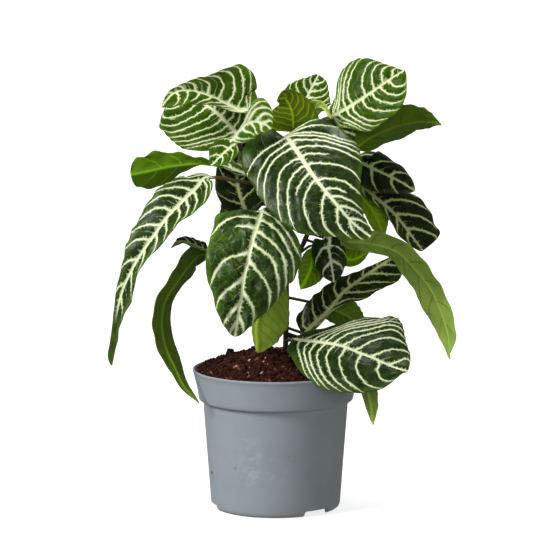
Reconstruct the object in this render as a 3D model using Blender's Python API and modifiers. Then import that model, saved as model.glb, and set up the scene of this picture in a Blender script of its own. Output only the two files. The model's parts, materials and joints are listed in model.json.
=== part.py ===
"""Zebra plant in a round nursery pot: pot, soil, forked stem and separate leaves, each one solid."""
import math
import random

import bmesh
import bpy
from mathutils import Matrix, Vector, noise

# Driving dimensions in metres
MM = 0.001
STEPS = 48  # facets round the pot
POT_HEIGHT = 0.1015
RIM_RADIUS = 0.060
COLLAR_HEIGHT = 0.023
COLLAR_LOW_RADIUS = 0.0563
SHOULDER_RADIUS = 0.0525
FOOT_RADIUS = 0.0468
CORNER = 0.0035
WALL = 0.0012
FLOOR_UNDER = 0.0046
PAD_RADIUS = 0.016
FOOT_WIDTH = 0.0035
NOTCH_ANGLES = (-49.0, 71.0, 191.0)  # degrees from the +X axis, round +Z
NOTCH_WIDTH = 0.023
DRAIN_RADIUS = 0.0035
DRAIN_RING = 0.029
DRAIN_COUNT = 6
SEAT = 0.0003  # gap between seated pieces
SOIL_EDGE = 0.0985  # height of the soil at the wall
SOIL_CROWN = 0.1125
CROWN_AT = (-0.004, 0.006)
STEM_FOOT = (0.0070, 0.0080, 0.0990)
STEM_HOLE = 0.0026
BLADE = 0.0007  # thickness of a leaf blade
ACROSS = 6  # strips across a leaf
ALONG = 13  # cross sections along a leaf

# Shoots: points along the axis in mm with the radius there
SHOOTS = {
    "main": [(7, 8, 99, 2.1), (7.4, 8, 125, 2.0), (8, 8, 150, 1.9), (7.4, 7, 172, 2.1),
             (6, 5, 190, 2.0), (5, 4, 200, 2.3)],
    "left": [(5.8, 4.8, 193, 1.6), (3, 4, 203, 1.9), (-5, 4, 220, 1.7), (-17, 3, 245, 1.6), (-25, 1, 262, 1.4),
             (-28, -1, 270, 0.8)],
    "middle": [(5.6, 4.6, 190, 1.5), (6, 4, 203, 1.9), (10, 4, 225, 1.7), (15, 5, 252, 1.6), (18, 6, 276, 1.4),
               (19, 6, 285, 0.8)],
    "right": [(7.5, 7.2, 168, 1.4), (11, 9, 177, 1.9), (20, 14, 190, 1.7), (31, 19, 220, 1.6), (36, 19, 250, 1.5),
              (38, 17, 272, 1.3), (39, 16, 280, 0.8)],
}

# Leaves. rib: points in mm from the stem, the second one is where the blade starts.
# up: the way the upper face looks at the base and at the tip. half: half widths in mm on
# either side, a list runs from base to tip. fold and curl: degrees the two halves rise at the
# rib and bend on to the margin. peak: where the blade is widest. point: higher is more pointed.
# wave: margin waves as height, count and phase. lobe: how far the two base corners reach back.
LEAVES = {}


def leaf(name, rib, up, half, fold=(8, 8), curl=(0, 0), peak=0.42, point=1.5, wave=(0, 2, 0),
         stalk=1.3, lobe=(0, 0)):
    LEAVES[name] = dict(rib=rib, up=up, half=half, fold=fold, curl=curl, peak=peak, point=point,
                        wave=wave, stalk=stalk, lobe=lobe)


leaf("leaf_front_top",
     rib=[(14, 4, 246), (7, -6, 270), (16, -18, 260), (24, -30, 249), (33, -40, 238),
          (43, -48, 227), (54, -53, 215), (67, -56, 205)],
     up=[(-0.15, -0.75, 0.65), (-0.12, -0.85, 0.5), (-0.1, -0.8, 0.6)],
     half=([17, 33, 39, 36, 21, 11, 5], [5, 36, 40, 39, 32, 14, 6]),
     fold=(6, 4), curl=(-22, -18), wave=(1.0, 3, 0.2), lobe=(11, 31))
leaf("leaf_front_low",
     rib=[(-3, 4, 217), (-9, -14, 218), (-13, -28, 210), (-17, -38, 198), (-19, -43, 188),
          (-22, -46, 176), (-24, -47, 162), (-27, -46, 145), (-29, -43, 131)],
     up=[(0, -0.5, 0.86), (0, -0.9, 0.43), (0, -0.98, 0.2)],
     half=([13, 25, 36, 35, 26, 14, 6], [13, 31, 31, 31, 23, 15, 7]),
     fold=(4, 4), curl=(-25, -25), wave=(1.2, 3, 0.5), lobe=(8, 8))
leaf("leaf_left_drooping",
     rib=[(-12.5, 3.8, 234.5), (-47, 2, 240), (-57, -4, 233), (-67, -10, 224), (-78, -15, 213),
          (-86, -18, 202), (-94, -20, 191), (-103, -21, 176), (-110, -20, 160),
          (-115, -18, 138), (-118, -16, 106)],
     up=[(-0.3, -0.7, 0.65), (-0.45, -0.75, 0.45), (-0.6, -0.75, 0.3), (-0.8, -0.55, 0.2)],
     half=([9, 18, 15, 9, 13, 7, 2], [9, 18, 19, 12, 4, 3, 4]),
     fold=(14, 18), curl=(0, -10), point=2.1, wave=(1.4, 4, 0.1), lobe=(4, 4))
leaf("leaf_left_folded",
     rib=[(-27, 1, 265), (-20, 8, 286), (-28, 8, 289), (-38, 8, 294), (-48, 6, 299),
          (-58, 4, 302), (-68, 0, 303), (-75, -4, 300), (-82, -8, 292)],
     up=[(0, -0.2, 0.98), (0, -0.2, 0.98), (-0.3, -0.2, 0.9)],
     half=([2, 3, 8, 15, 20, 17, 6], [3, 22, 30, 14, 5, 3, 1]),
     fold=(-10, 62), curl=(-10, 10), wave=(0.8, 3, 0), lobe=(9, 14))
leaf("leaf_left_back",
     rib=[(-27, 2, 261), (-27, 9, 269), (-37, 17, 280), (-47, 23, 288), (-59, 30, 294),
          (-74, 36, 300)],
     up=[(-0.2, -0.85, 0.5), (-0.25, -0.85, 0.5)],
     half=([11, 22, 33, 36, 35, 32, 27], 24),
     fold=(4, 8), curl=(-14, 0), wave=(0.8, 3, 0.4), lobe=(6, 6))
leaf("leaf_young_left",
     rib=[(-28, -1, 269), (-32, -10, 267), (-27, -12, 274), (-21, -13, 280), (-15, -13, 282),
          (-9, -15, 281), (-3, -17, 277)],
     up=[(-0.1, -0.95, 0.3), (-0.1, -0.95, 0.3)],
     half=([0, 1, 1, 4, 17, 10, 3], [2, 6, 8, 10, 10, 7, 2]),
     fold=(10, 6), curl=(0, -10), stalk=1.0, lobe=(0, 0))
leaf("leaf_young_low",
     rib=[(-23, 2, 258), (-28, -3, 265), (-37, -8, 259), (-46, -11, 250)],
     up=[(-0.3, -0.85, 0.4), (-0.3, -0.85, 0.4)],
     half=(10, 11),
     fold=(6, 6), curl=(0, 0), peak=0.45, point=1.4, stalk=1.0)
leaf("leaf_young_olive",
     rib=[(16.3, 5.3, 264), (13, 1, 273), (12, 0, 287), (7, -2, 297), (1, -6, 297)],
     up=[(0, 0.95, 0.3), (-0.3, 0.9, 0.4)],
     half=(11, 18),
     fold=(10, 10), curl=(0, 0), peak=0.5, point=1.2, stalk=1.0)
leaf("leaf_young_pale",
     rib=[(18.5, 6, 278), (22, 9, 279), (28, 9, 289), (34, 5, 290), (40, -2, 283)],
     up=[(0.1, 0.6, 0.8), (0.3, 0.6, 0.7)],
     half=(7, 7),
     fold=(8, 8), curl=(0, 0), peak=0.5, point=1.4, stalk=0.9)
leaf("leaf_top_back",
     rib=[(19, 6.2, 284), (21, 24, 280), (21, 26, 286), (22, 28, 293), (25, 31, 300),
          (31, 34, 311)],
     up=[(0, -0.9, 0.4), (0, -0.9, 0.4)],
     half=([3, 6, 16, 17, 12, 6, 3], [4, 7, 15, 18, 15, 11, 7]),
     fold=(6, 6), curl=(0, 0), stalk=1.0, lobe=(4, 4))
leaf("leaf_top_right",
     rib=[(39, 16, 277), (41, 10, 283), (55, 8, 292), (68, 4, 301), (80, 0, 310), (92, -2, 318)],
     up=[(-0.3, -0.85, 0.45), (-0.3, -0.85, 0.45)],
     half=([5, 11, 26, 30, 23, 11, 2], [8, 15, 25, 26, 25, 20, 8]),
     fold=(4, 4), curl=(-8, -8), wave=(0.8, 3, 0.3), lobe=(5, 5))
leaf("leaf_right_under",
     rib=[(38, 17, 270), (55, 16, 260), (69, 14, 268), (84, 12, 275), (98, 8, 279),
          (109, 5, 280), (119, 2, 278)],
     up=[(0.1, 0.8, 0.6), (0.1, 0.6, 0.8)],
     half=([5, 12, 16, 18, 15, 11, 3], [4, 9, 13, 16, 18, 11, 3]),
     fold=(14, 14), curl=(0, 0), wave=(0.8, 3, 0.3))
leaf("leaf_right_dark",
     rib=[(37, 19, 255), (58, 16, 251), (65, 12, 248), (79, 6, 242), (90, 2, 237),
          (100, -2, 231)],
     up=[(0.1, -0.8, 0.6), (0.1, -0.8, 0.6)],
     half=([10, 21, 19, 17, 14, 8, 3], [4, 9, 15, 15, 12, 8, 3]),
     fold=(-4, -4), curl=(-30, -20), lobe=(5, 5))
leaf("leaf_right_low",
     rib=[(36, 19, 243), (62, 14, 232), (74, 9, 223), (84, 5, 215), (92, 1, 206),
          (99, -3, 197), (106, -6, 188)],
     up=[(0.2, -0.8, 0.55), (0.2, -0.8, 0.5)],
     half=([4, 9, 16, 24, 23, 20, 18], [2, 5, 4, 6, 8, 6, 3]),
     fold=(4, 4), curl=(-10, -10), wave=(0.6, 3, 0.3), lobe=(3, 3))
leaf("leaf_right_arching",
     rib=[(24, 16, 198), (39, 14, 194), (52, 10, 193), (69, 4, 192), (87, -1, 187),
          (100, -5, 175), (112, -7, 160), (120, -8, 142), (125, -8, 125), (126, -7, 109)],
     up=[(0, 0.75, 0.65), (0.3, 0.8, 0.6), (0.7, 0.65, 0.3), (0.85, 0.5, 0.1)],
     half=([9, 11, 11, 16, 21, 17, 6], [6, 11, 12, 11, 10, 9, 1]),
     fold=(6, 6), curl=(0, 0), wave=(0.6, 4, 0))
leaf("leaf_olive_hanging",
     rib=[(34, 18, 235), (55, 22, 228), (65, 20, 221), (73, 16, 209), (78, 12, 195)],
     up=[(0.2, 0.9, 0.3), (0.2, 0.95, 0.1)],
     half=([3, 6, 7, 7, 7, 5, 2], [2, 5, 7, 10, 9, 5, 2]),
     fold=(6, 6), curl=(0, 0), stalk=1.0)
leaf("leaf_lime_hanging",
     rib=[(14, 10.5, 181), (26, 13, 189), (27, 10, 180), (24, 7, 170), (18, 5, 158)],
     up=[(0, 0.9, 0.4), (0, 0.98, 0.1)],
     half=(9, 12),
     fold=(6, 6), curl=(0, 0), peak=0.45, point=1.7, stalk=1.0)
leaf("leaf_lime_right",
     rib=[(22, 15, 193), (35, 31, 186), (44, 28, 180), (56, 25, 177), (68, 23, 184)],
     up=[(0, 0.9, 0.4), (0, 0.9, 0.4)],
     half=(6.5, 11),
     fold=(6, 6), curl=(0, 0), peak=0.45, point=1.4, stalk=1.0)
leaf("leaf_small_dark",
     rib=[(13, 5, 235), (37, 4, 199), (38, 0, 190), (40, -4, 179), (42, -6, 165)],
     up=[(0, -0.95, 0.3), (0, -0.98, 0.1)],
     half=(12, 13),
     fold=(4, 4), curl=(-20, -20), peak=0.45, point=1.25, wave=(0.6, 3, 0.3), stalk=1.0)
leaf("leaf_low_long",
     rib=[(7.2, 8, 125), (18, -2, 124), (26, -4, 133), (36, -4, 142), (43, -3, 150),
          (49, 0, 157), (59, 5, 164), (70, 11, 171), (82, 17, 178), (93, 21, 183)],
     up=[(-0.2, -0.7, 0.6), (-0.2, -0.75, 0.6)],
     half=([10, 15, 16, 11, 5, 2, 1], [1, 4, 3, 13, 16, 17, 8]),
     fold=(8, 0), curl=(0, -20), wave=(0.6, 4, 0.3), stalk=1.2, lobe=(0, 0))
leaf("leaf_low_under",
     rib=[(7.8, 8, 152), (31, 8, 147), (41, 12, 143), (53, 14, 137), (65, 12, 130)],
     up=[(0, 0.8, 0.6), (0, 0.8, 0.6)],
     half=(14, 14),
     fold=(8, 8), curl=(0, 0), peak=0.5, point=1.4, stalk=1.1)
leaf("leaf_front_right",
     rib=[(7.1, 8, 120), (13, -10, 124), (23, -21, 125), (35, -30, 125), (47, -37, 124),
          (59, -41, 120), (71, -45, 116), (83, -48, 111), (94, -50, 108)],
     up=[(-0.05, -0.6, 0.8), (-0.05, -0.6, 0.8)],
     half=([5, 13, 23, 35, 46, 32, 20], [9, 17, 31, 38, 34, 23, 4]),
     fold=(0, 0), curl=(-10, -16), wave=(0.8, 3, 0), lobe=(6, 6))
leaf("leaf_rim_tip",
     rib=[(7.3, 8, 130), (29, 2, 123), (50, -19, 116), (61, -31, 102), (67, -34, 87),
          (70, -34, 66)],
     up=[(0, 0.6, 0.8), (0.8, 0.5, 0.3), (0.6, 0.8, 0)],
     half=(9.5, 9.5),
     fold=(8, 8), curl=(0, 0), peak=0.6, point=2.5, stalk=1.1)
leaf("leaf_left_under",
     rib=[(-1, 4, 211), (-45, 6, 187), (-56, 0, 184), (-64, -8, 176), (-73, -15, 164),
          (-80, -20, 152), (-82, -23, 137), (-79, -26, 121), (-73, -28, 108), (-66, -32, 94),
          (-55, -35, 82)],
     up=[(-0.4, 0.7, 0.6), (-0.7, 0.6, 0.4), (-0.8, 0.5, 0.2), (-0.8, 0.55, 0), (-0.7, 0.7, 0)],
     half=([7, 14, 10, 11, 8, 4, 1], [11, 15, 10, 14, 12, 6, 2]),
     fold=(4, 4), curl=(0, 0))
leaf("leaf_small_curled",
     rib=[(-3, 3, 217), (-43, -7, 189), (-51, -10, 190), (-58, -12, 193), (-66, -13, 196),
          (-71, -14, 194), (-75, -14, 191)],
     up=[(0, -0.3, 0.95), (0, -0.3, 0.95)],
     half=(8, 8),
     fold=(10, 10), curl=(0, 0), peak=0.4, point=1.8, stalk=1.0)
leaf("leaf_left_upper",
     rib=[(-14.5, 3.2, 240), (-20, 8, 241), (-27, 9, 244), (-35, 9, 247), (-44, 8, 249),
          (-56, 6, 250), (-74, 3, 248), (-89, 0, 245), (-104, -2, 242)],
     up=[(0, -0.6, 0.8), (0, -0.2, 0.98), (0, 0.8, 0.6), (0, 0.95, 0.3), (0, 0.95, 0.3)],
     half=([5, 6, 6, 8, 12, 13, 8], [5, 6, 7, 10, 16, 17, 12]),
     fold=(10, 10), curl=(0, 20), wave=(0.8, 3, 0.3))
leaf("leaf_dark_behind",
     rib=[(-7, 4, 224), (-18, 12, 212), (-24, 16, 220), (-29, 22, 233), (-32, 28, 248)],
     up=[(0, -0.9, 0.4), (0, -0.9, 0.4)],
     half=(17, 15),
     fold=(4, 4), curl=(0, 0), peak=0.45, point=1.2, stalk=1.1)
leaf("leaf_back_high",
     rib=[(14.6, 5, 251), (20, 26, 260), (32, 32, 265), (47, 38, 270), (64, 40, 264)],
     up=[(0, -0.8, 0.6), (0, -0.8, 0.6)],
     half=(14, 16),
     fold=(8, 8), curl=(-10, -10), peak=0.45, point=1.3, wave=(1.0, 3, 0.3))
leaf("leaf_back_right",
     rib=[(33, 20, 232), (38, 38, 238), (46, 54, 232), (52, 70, 212), (54, 80, 190)],
     up=[(0, 0.1, 1), (0.1, 0.6, 0.8), (0.2, 0.9, 0.3)],
     half=(17, 17),
     fold=(8, 8), curl=(-10, -10), peak=0.42, point=1.4, wave=(1.0, 3, 0.6))
leaf("leaf_back_left",
     rib=[(-10, 4, 230), (-9, 28, 227), (-21, 45, 217), (-27, 62, 206), (-30, 76, 187)],
     up=[(-0.1, 0.1, 1), (-0.2, 0.6, 0.8), (-0.4, 0.8, 0.3)],
     half=(17, 17),
     fold=(8, 8), curl=(-10, -10), peak=0.42, point=1.4, wave=(1.0, 3, 0.1))
leaf("leaf_back_low",
     rib=[(7.6, 7.6, 165), (2, 26, 182), (-6, 48, 186), (-12, 68, 172), (-14, 84, 148)],
     up=[(0, 0.1, 1), (0, 0.6, 0.8), (0, 0.95, 0.3)],
     half=(20, 20),
     fold=(8, 8), curl=(-10, -10), peak=0.42, point=1.4, wave=(1.0, 3, 0.8))
leaf("leaf_back_lowest",
     rib=[(7.2, 8, 134), (-2, 26, 150), (-10, 46, 152), (-16, 62, 140), (-18, 74, 120)],
     up=[(0, 0.1, 1), (-0.2, 0.6, 0.8), (-0.4, 0.8, 0.3)],
     half=(14, 14),
     fold=(8, 8), curl=(-10, -10), peak=0.42, point=1.4, wave=(1.0, 3, 0.4))
leaf("leaf_low_hanging",
     rib=[(7, 7, 179), (-3, 3, 168), (-9, -2, 151), (-13, -6, 134), (-13, -8, 122),
          (-13, -9, 114)],
     up=[(0.1, 1, 0.1), (0.1, 1, 0.1)],
     half=([4, 4, 5, 4, 4, 3, 2], [12, 16, 19, 22, 22, 18, 10]),
     fold=(4, 4), curl=(0, 0), wave=(0.6, 3, 0.3), stalk=1.1)


def clear_scene():
    for item in list(bpy.data.objects):
        bpy.data.objects.remove(item, do_unlink=True)


def collection(name):
    found = bpy.data.collections.new(name)
    bpy.context.scene.collection.children.link(found)
    return found


def material(name, colour, rough, metallic=0.0):
    made = bpy.data.materials.new(name)
    made.use_nodes = True
    shader = made.node_tree.nodes["Principled BSDF"]
    shader.inputs["Base Color"].default_value = (*colour, 1.0)
    shader.inputs["Roughness"].default_value = rough
    shader.inputs["Metallic"].default_value = metallic
    return made


def put(name, mesh, where, skin=None):
    made = bpy.data.objects.new(name, mesh)
    where.objects.link(made)
    if skin:
        mesh.materials.append(skin)
    return made


def face_out(mesh):
    work = bmesh.new()
    work.from_mesh(mesh)
    bmesh.ops.recalc_face_normals(work, faces=work.faces)
    work.to_mesh(mesh)
    work.free()


def turned(name, profile, where, skin, steps=STEPS):
    mesh = bpy.data.meshes.new(name)
    count = len(profile)
    mesh.from_pydata([(r, 0.0, z) for r, z in profile], [(i, i + 1) for i in range(count - 1)], [])
    made = put(name, mesh, where, skin)
    screw = made.modifiers.new("turn", "SCREW")
    screw.axis = "Z"
    screw.angle = math.tau
    screw.steps = steps
    screw.render_steps = steps
    screw.use_merge_vertices = True
    screw.merge_threshold = 0.00001
    screw.use_normal_calculate = True
    return made


def cut(target, cutter, operation="DIFFERENCE"):
    cutter.hide_render = True
    cutter.display_type = "WIRE"
    step = target.modifiers.new(cutter.name, "BOOLEAN")
    step.operation = operation
    step.solver = "EXACT"
    step.object = cutter


def rod(name, radius, low, high, at, where, sides=16):
    mesh = bpy.data.meshes.new(name)
    work = bmesh.new()
    bmesh.ops.create_cone(work, cap_ends=True, segments=sides, radius1=radius, radius2=radius,
                          depth=high - low)
    bmesh.ops.rotate(work, verts=work.verts, matrix=Matrix.Rotation(0.11, 3, "Z"))
    bmesh.ops.translate(work, verts=work.verts, vec=(at[0], at[1], (high + low) / 2))
    work.to_mesh(mesh)
    work.free()
    return put(name, mesh, where)


# Pot: one turned wall with a collar, a raised floor, a foot ring and a flat middle pad
def build_pot(parts, cutters):
    skin = material("pot_plastic", (0.25, 0.29, 0.32), 0.5)
    top = POT_HEIGHT
    step = top - COLLAR_HEIGHT
    foot_inner = FOOT_RADIUS - FOOT_WIDTH
    floor_top = FLOOR_UNDER + WALL
    inner_low = FOOT_RADIUS - WALL + 0.0004
    profile = [
        (0.0, 0.0), (PAD_RADIUS, 0.0), (PAD_RADIUS + 0.0012, FLOOR_UNDER),
        (foot_inner - 0.0006, FLOOR_UNDER), (foot_inner, 0.0),
        (FOOT_RADIUS - CORNER + 0.0006, 0.0), (FOOT_RADIUS - 0.0010, 0.0010),
        (FOOT_RADIUS, CORNER), (SHOULDER_RADIUS, step), (COLLAR_LOW_RADIUS - 0.0008, step + 0.0006),
        (COLLAR_LOW_RADIUS, step + 0.0022), (RIM_RADIUS - 0.0004, top - 0.0020),
        (RIM_RADIUS, top - 0.0008), (RIM_RADIUS - 0.0006, top), (RIM_RADIUS - 0.0016, top - 0.0006),
        (COLLAR_LOW_RADIUS - WALL, step + 0.0026), (SHOULDER_RADIUS - WALL - 0.0004, step + 0.0008),
        (inner_low, floor_top + 0.002), (inner_low - 0.002, floor_top),
        (PAD_RADIUS + 0.0004, floor_top), (PAD_RADIUS - 0.0010, WALL + 0.0004), (0.0, WALL + 0.0004),
    ]
    pot = turned("pot", profile, parts, skin)
    for index, angle in enumerate(NOTCH_ANGLES):
        mesh = bpy.data.meshes.new(f"notch_{index}")
        work = bmesh.new()
        bmesh.ops.create_cube(work, size=1.0)
        reach = 0.012
        bmesh.ops.scale(work, verts=work.verts, vec=(reach, NOTCH_WIDTH, 0.0092))
        bmesh.ops.bevel(work, geom=[e for e in work.edges if abs(e.verts[0].co.x - e.verts[1].co.x) > 0.001],
                        offset=0.0018, segments=2, profile=0.5, affect="EDGES")
        bmesh.ops.translate(work, verts=work.verts, vec=(FOOT_RADIUS + 0.0006, 0, -0.0004))
        work.to_mesh(mesh)
        work.free()
        notch = put(f"notch_{index}", mesh, cutters)
        notch.rotation_euler = (0, 0, math.radians(angle))
        cut(pot, notch)
    for index in range(DRAIN_COUNT):
        angle = math.tau * (index + 0.53) / DRAIN_COUNT
        at = (DRAIN_RING * math.cos(angle), DRAIN_RING * math.sin(angle))
        cut(pot, rod(f"drain_{index}", DRAIN_RADIUS, 0.002, 0.010, at, cutters, 12))
    return pot


def soil_height(x, y):
    """Height of the soil at a point: a crown near the stem falling to the wall."""
    far = math.hypot(x - CROWN_AT[0], y - CROWN_AT[1]) / 0.058
    rise = max(0.0, 1 - far ** 1.7)
    edge = min(1.0, max(0.0, (0.0555 - math.hypot(x, y)) / 0.012))
    lump = 0.0011 * noise.noise(Vector((x, y, 0.3)) * 90) + 0.0007 * noise.noise(Vector((x, y, 4)) * 260)
    return SOIL_EDGE + (SOIL_CROWN - SOIL_EDGE) * rise + lump * edge


# Soil: fills the pot with a small gap, lumpy on top, with a plain hole for the stem
def build_soil(parts, cutters):
    skin = material("soil_peat", (0.06, 0.025, 0.018), 0.95)
    step = POT_HEIGHT - COLLAR_HEIGHT
    floor_top = FLOOR_UNDER + WALL
    gap = SEAT + 0.0001
    wall_low = FOOT_RADIUS - WALL + 0.0004 - gap
    wall_step = SHOULDER_RADIUS - WALL - 0.0004 - gap
    slope = (RIM_RADIUS - 0.0016 - (COLLAR_LOW_RADIUS - WALL)) / (COLLAR_HEIGHT - 0.0032)
    wall_top = COLLAR_LOW_RADIUS - WALL - gap + slope * (SOIL_EDGE - step - 0.0026)
    rings = [0.006, 0.013, 0.020, 0.027, 0.034, 0.041, 0.048, 0.0535]
    profile = [(0.0, floor_top + gap), (wall_low - 0.0022, floor_top + gap),
               (wall_low, floor_top + 0.0023), (wall_step, step + 0.0008),
               (COLLAR_LOW_RADIUS - WALL - gap, step + 0.0030), (wall_top, SOIL_EDGE)]
    profile += [(r, SOIL_EDGE + 0.001) for r in reversed(rings)] + [(0.0, SOIL_EDGE + 0.001)]
    soil = turned("soil", profile, parts, skin)
    graph = bpy.context.evaluated_depsgraph_get()
    mesh = bpy.data.meshes.new_from_object(soil.evaluated_get(graph))
    soil.modifiers.clear()
    soil.data = mesh
    mesh.name = "soil"
    for vert in mesh.vertices:
        if vert.co.z > SOIL_EDGE - 0.00001 and math.hypot(vert.co.x, vert.co.y) < wall_top - 0.0005:
            vert.co.z = soil_height(vert.co.x, vert.co.y)
    foot = STEM_FOOT
    cut(soil, rod("stem_hole", STEM_HOLE, foot[2] - SEAT, 0.14, foot[:2], cutters, 14))
    return soil


# Stem: a main stalk and three shoots, tapered tubes joined into one body
def build_stem(parts, cutters):
    skin = material("stem_bark", (0.035, 0.03, 0.018), 0.6)
    tubes = []
    for name, points in SHOOTS.items():
        curve = bpy.data.curves.new(f"shoot_{name}", "CURVE")
        curve.dimensions = "3D"
        curve.bevel_depth = 1.0 * MM
        curve.bevel_resolution = 1
        curve.use_fill_caps = True
        smooth = shoot_line(points)
        line = curve.splines.new("POLY")
        line.points.add(len(smooth) - 1)
        for point, (x, y, z, radius) in zip(line.points, smooth):
            point.co = (x * MM, y * MM, z * MM, 1.0)
            point.radius = radius
        holder = put_curve(f"shoot_{name}", curve, cutters)
        graph = bpy.context.evaluated_depsgraph_get()
        mesh = bpy.data.meshes.new_from_object(holder.evaluated_get(graph))
        mesh.materials.clear()
        bpy.data.objects.remove(holder, do_unlink=True)
        work = bmesh.new()
        work.from_mesh(mesh)
        bmesh.ops.remove_doubles(work, verts=work.verts, dist=0.00001)
        bmesh.ops.recalc_face_normals(work, faces=work.faces)
        work.to_mesh(mesh)
        work.free()
        tubes.append((name, mesh))
    stem = put("stem", tubes[0][1], parts, skin)
    for name, mesh in tubes[1:]:
        cut(stem, put(f"shoot_{name}", mesh, cutters), "UNION")
    return stem


def put_curve(name, curve, where):
    made = bpy.data.objects.new(name, curve)
    where.objects.link(made)
    return made


def spline(points, count):
    """Smooth points through a list, evenly spaced along the length."""
    ends = [points[0] * 2 - points[1]] + points + [points[-1] * 2 - points[-2]]
    fine = []
    for i in range(1, len(ends) - 2):
        a, b, c, d = ends[i - 1:i + 3]
        for k in range(24):
            t = k / 24
            fine.append(0.5 * (2 * b + (c - a) * t + (2 * a - 5 * b + 4 * c - d) * t * t
                               + (3 * b - a - 3 * c + d) * t ** 3))
    fine.append(points[-1])
    reach = [0.0]
    for p, q in zip(fine, fine[1:]):
        reach.append(reach[-1] + (q - p).length)
    made = []
    at = 0
    for i in range(count):
        want = reach[-1] * i / (count - 1)
        while at < len(reach) - 2 and reach[at + 1] < want:
            at += 1
        span = reach[at + 1] - reach[at]
        made.append(fine[at].lerp(fine[at + 1], (want - reach[at]) / span if span else 0.0))
    return made


def shoot_line(points):
    return spline([Vector(p) for p in points], 3 * len(points) - 2)


def stem_gap(point):
    """Distance in mm from a point to the surface of the nearest shoot."""
    best = 1e9
    for points in SHOOTS.values():
        line = shoot_line(points)
        for a, b in zip(line, line[1:]):
            p, q = a.xyz, b.xyz
            t = max(0.0, min(1.0, (point - p).dot(q - p) / (q - p).length_squared))
            best = min(best, (point - p.lerp(q, t)).length - (a[3] + (b[3] - a[3]) * t))
    return best


def half_width(u, half, peak, point):
    """Half width of a blade in mm at a share u of its length."""
    if u <= 0 or u >= 1:
        return 0.0
    if isinstance(half, (list, tuple)):
        marks = [-half[0], 0.0, *half, 0.0, -half[-1]]
        where = math.acos(1 - 2 * u) / math.pi * (len(half) + 1)
        i = min(int(where), len(half))
        a, b, c, d = marks[i:i + 4]
        t = where - i
        return max(0.0, 0.5 * (2 * b + (c - a) * t + (2 * a - 5 * b + 4 * c - d) * t * t
                               + (3 * b - a - 3 * c + d) * t ** 3))
    a = peak * point
    return half * (u / peak) ** a * ((1 - u) / (1 - peak)) ** (point - a)


def leaf_rib(spec):
    """A fine rib with the index where the stalk clears the stem and where the blade starts."""
    rib = [Vector(p) for p in spec["rib"]]
    fine = spline(rib, 241)
    base = min(range(241), key=lambda i: (fine[i] - rib[1]).length)
    start = 0.0
    while start < base - 3:
        low = int(start)
        place = fine[low].lerp(fine[low + 1], start - low)
        tangent = (fine[low + 1] - fine[low]).normalized()
        side = tangent.orthogonal().normalized()
        other = tangent.cross(side)
        ring = [place + spec["stalk"] * (side * math.cos(k) + other * math.sin(k))
                for k in (0, 0.785, 1.571, 2.356, 3.142, 3.927, 4.712, 5.498)]
        if min(stem_gap(p) for p in ring) >= 0.32:
            break
        start += 0.25
    return fine, start, base


def leaf_frames(spec, along):
    """Stations of a leaf: place, share of the blade, and the three directions there."""
    fine, start, base = leaf_rib(spec)
    stalk_count = 3
    index = [start + (base - start) * i / stalk_count for i in range(stalk_count)]
    blade_count = along - stalk_count
    shares = [(i / (blade_count - 1)) ** 0.97 for i in range(blade_count)]
    if max(spec["lobe"]) > 4:
        shares.insert(1, 0.035)
    index += [base + (240 - base) * share for share in shares]
    return [frame_at(spec, fine, base, where) for where in index]


def frame_at(spec, fine, base, where):
    ups = [Vector(v).normalized() for v in spec["up"]]
    low = min(int(where), 239)
    place = fine[low].lerp(fine[low + 1], where - low)
    back, ahead = fine[max(low - 3, 0)], fine[min(low + 4, 240)]
    tangent = (ahead - back).normalized()
    u = (where - base) / (240 - base)
    share = max(u, 0.0) * (len(ups) - 1)
    k = min(int(share), len(ups) - 2)
    up = ups[k].lerp(ups[k + 1], share - k)
    up = (up - tangent * up.dot(tangent)).normalized()
    return place, u, tangent, up, tangent.cross(up)


def leaf_section(spec, u, across):
    """Points across a leaf at a share u: sideways, backward, upper and lower offsets in mm."""
    stalk = spec["stalk"]
    blend = min(1.0, max(0.0, (u + 0.02) / 0.10))
    blend = blend * blend * (3 - 2 * blend)
    places = []
    half_count = across // 2
    for j in range(-half_count, half_count + 1):
        tau = j / half_count
        tau = math.copysign(abs(tau) ** 1.15, tau)
        side = 0 if j < 0 else 1
        shape = half_width(u, spec["half"][side], spec["peak"], spec["point"])
        width = max(shape, stalk * (1 - max(u, 0.0)) ** 0.5 * 0.9, 0.45)
        fold, curl = spec["fold"][side], spec["curl"][side]
        steps = 6
        x = z = 0.0
        for k in range(steps):
            angle = math.radians(fold + curl * abs(tau) * (k + 0.5) / steps)
            x += math.cos(angle) * abs(tau) * width / steps
            z += math.sin(angle) * abs(tau) * width / steps
        size, count, phase = spec["wave"]
        z += size * tau * tau * math.sin(math.tau * (count * u + phase) + (2.1 if side else 0)) * min(1.0, shape / 12)
        top = BLADE / MM / 2
        low = -top
        bulge = stalk * (1 - 0.75 * max(u, 0.0)) * math.exp(-(tau * width / (stalk * 1.3)) ** 2)
        low -= max(0.0, bulge - top)
        round_x = stalk * math.sin(tau * math.pi / 2)
        round_z = max(stalk * math.cos(tau * math.pi / 2), BLADE / MM / 2)
        sx = math.copysign(x, tau) * blend + round_x * (1 - blend)
        sz = z * blend
        back = spec["lobe"][side] * tau * tau * max(0.0, 1 - max(u, 0.0) * 1.6) ** 2 * blend
        places.append((sx, back, sz + top * blend + round_z * (1 - blend),
                       sz + low * blend - round_z * (1 - blend)))
    return places


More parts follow.
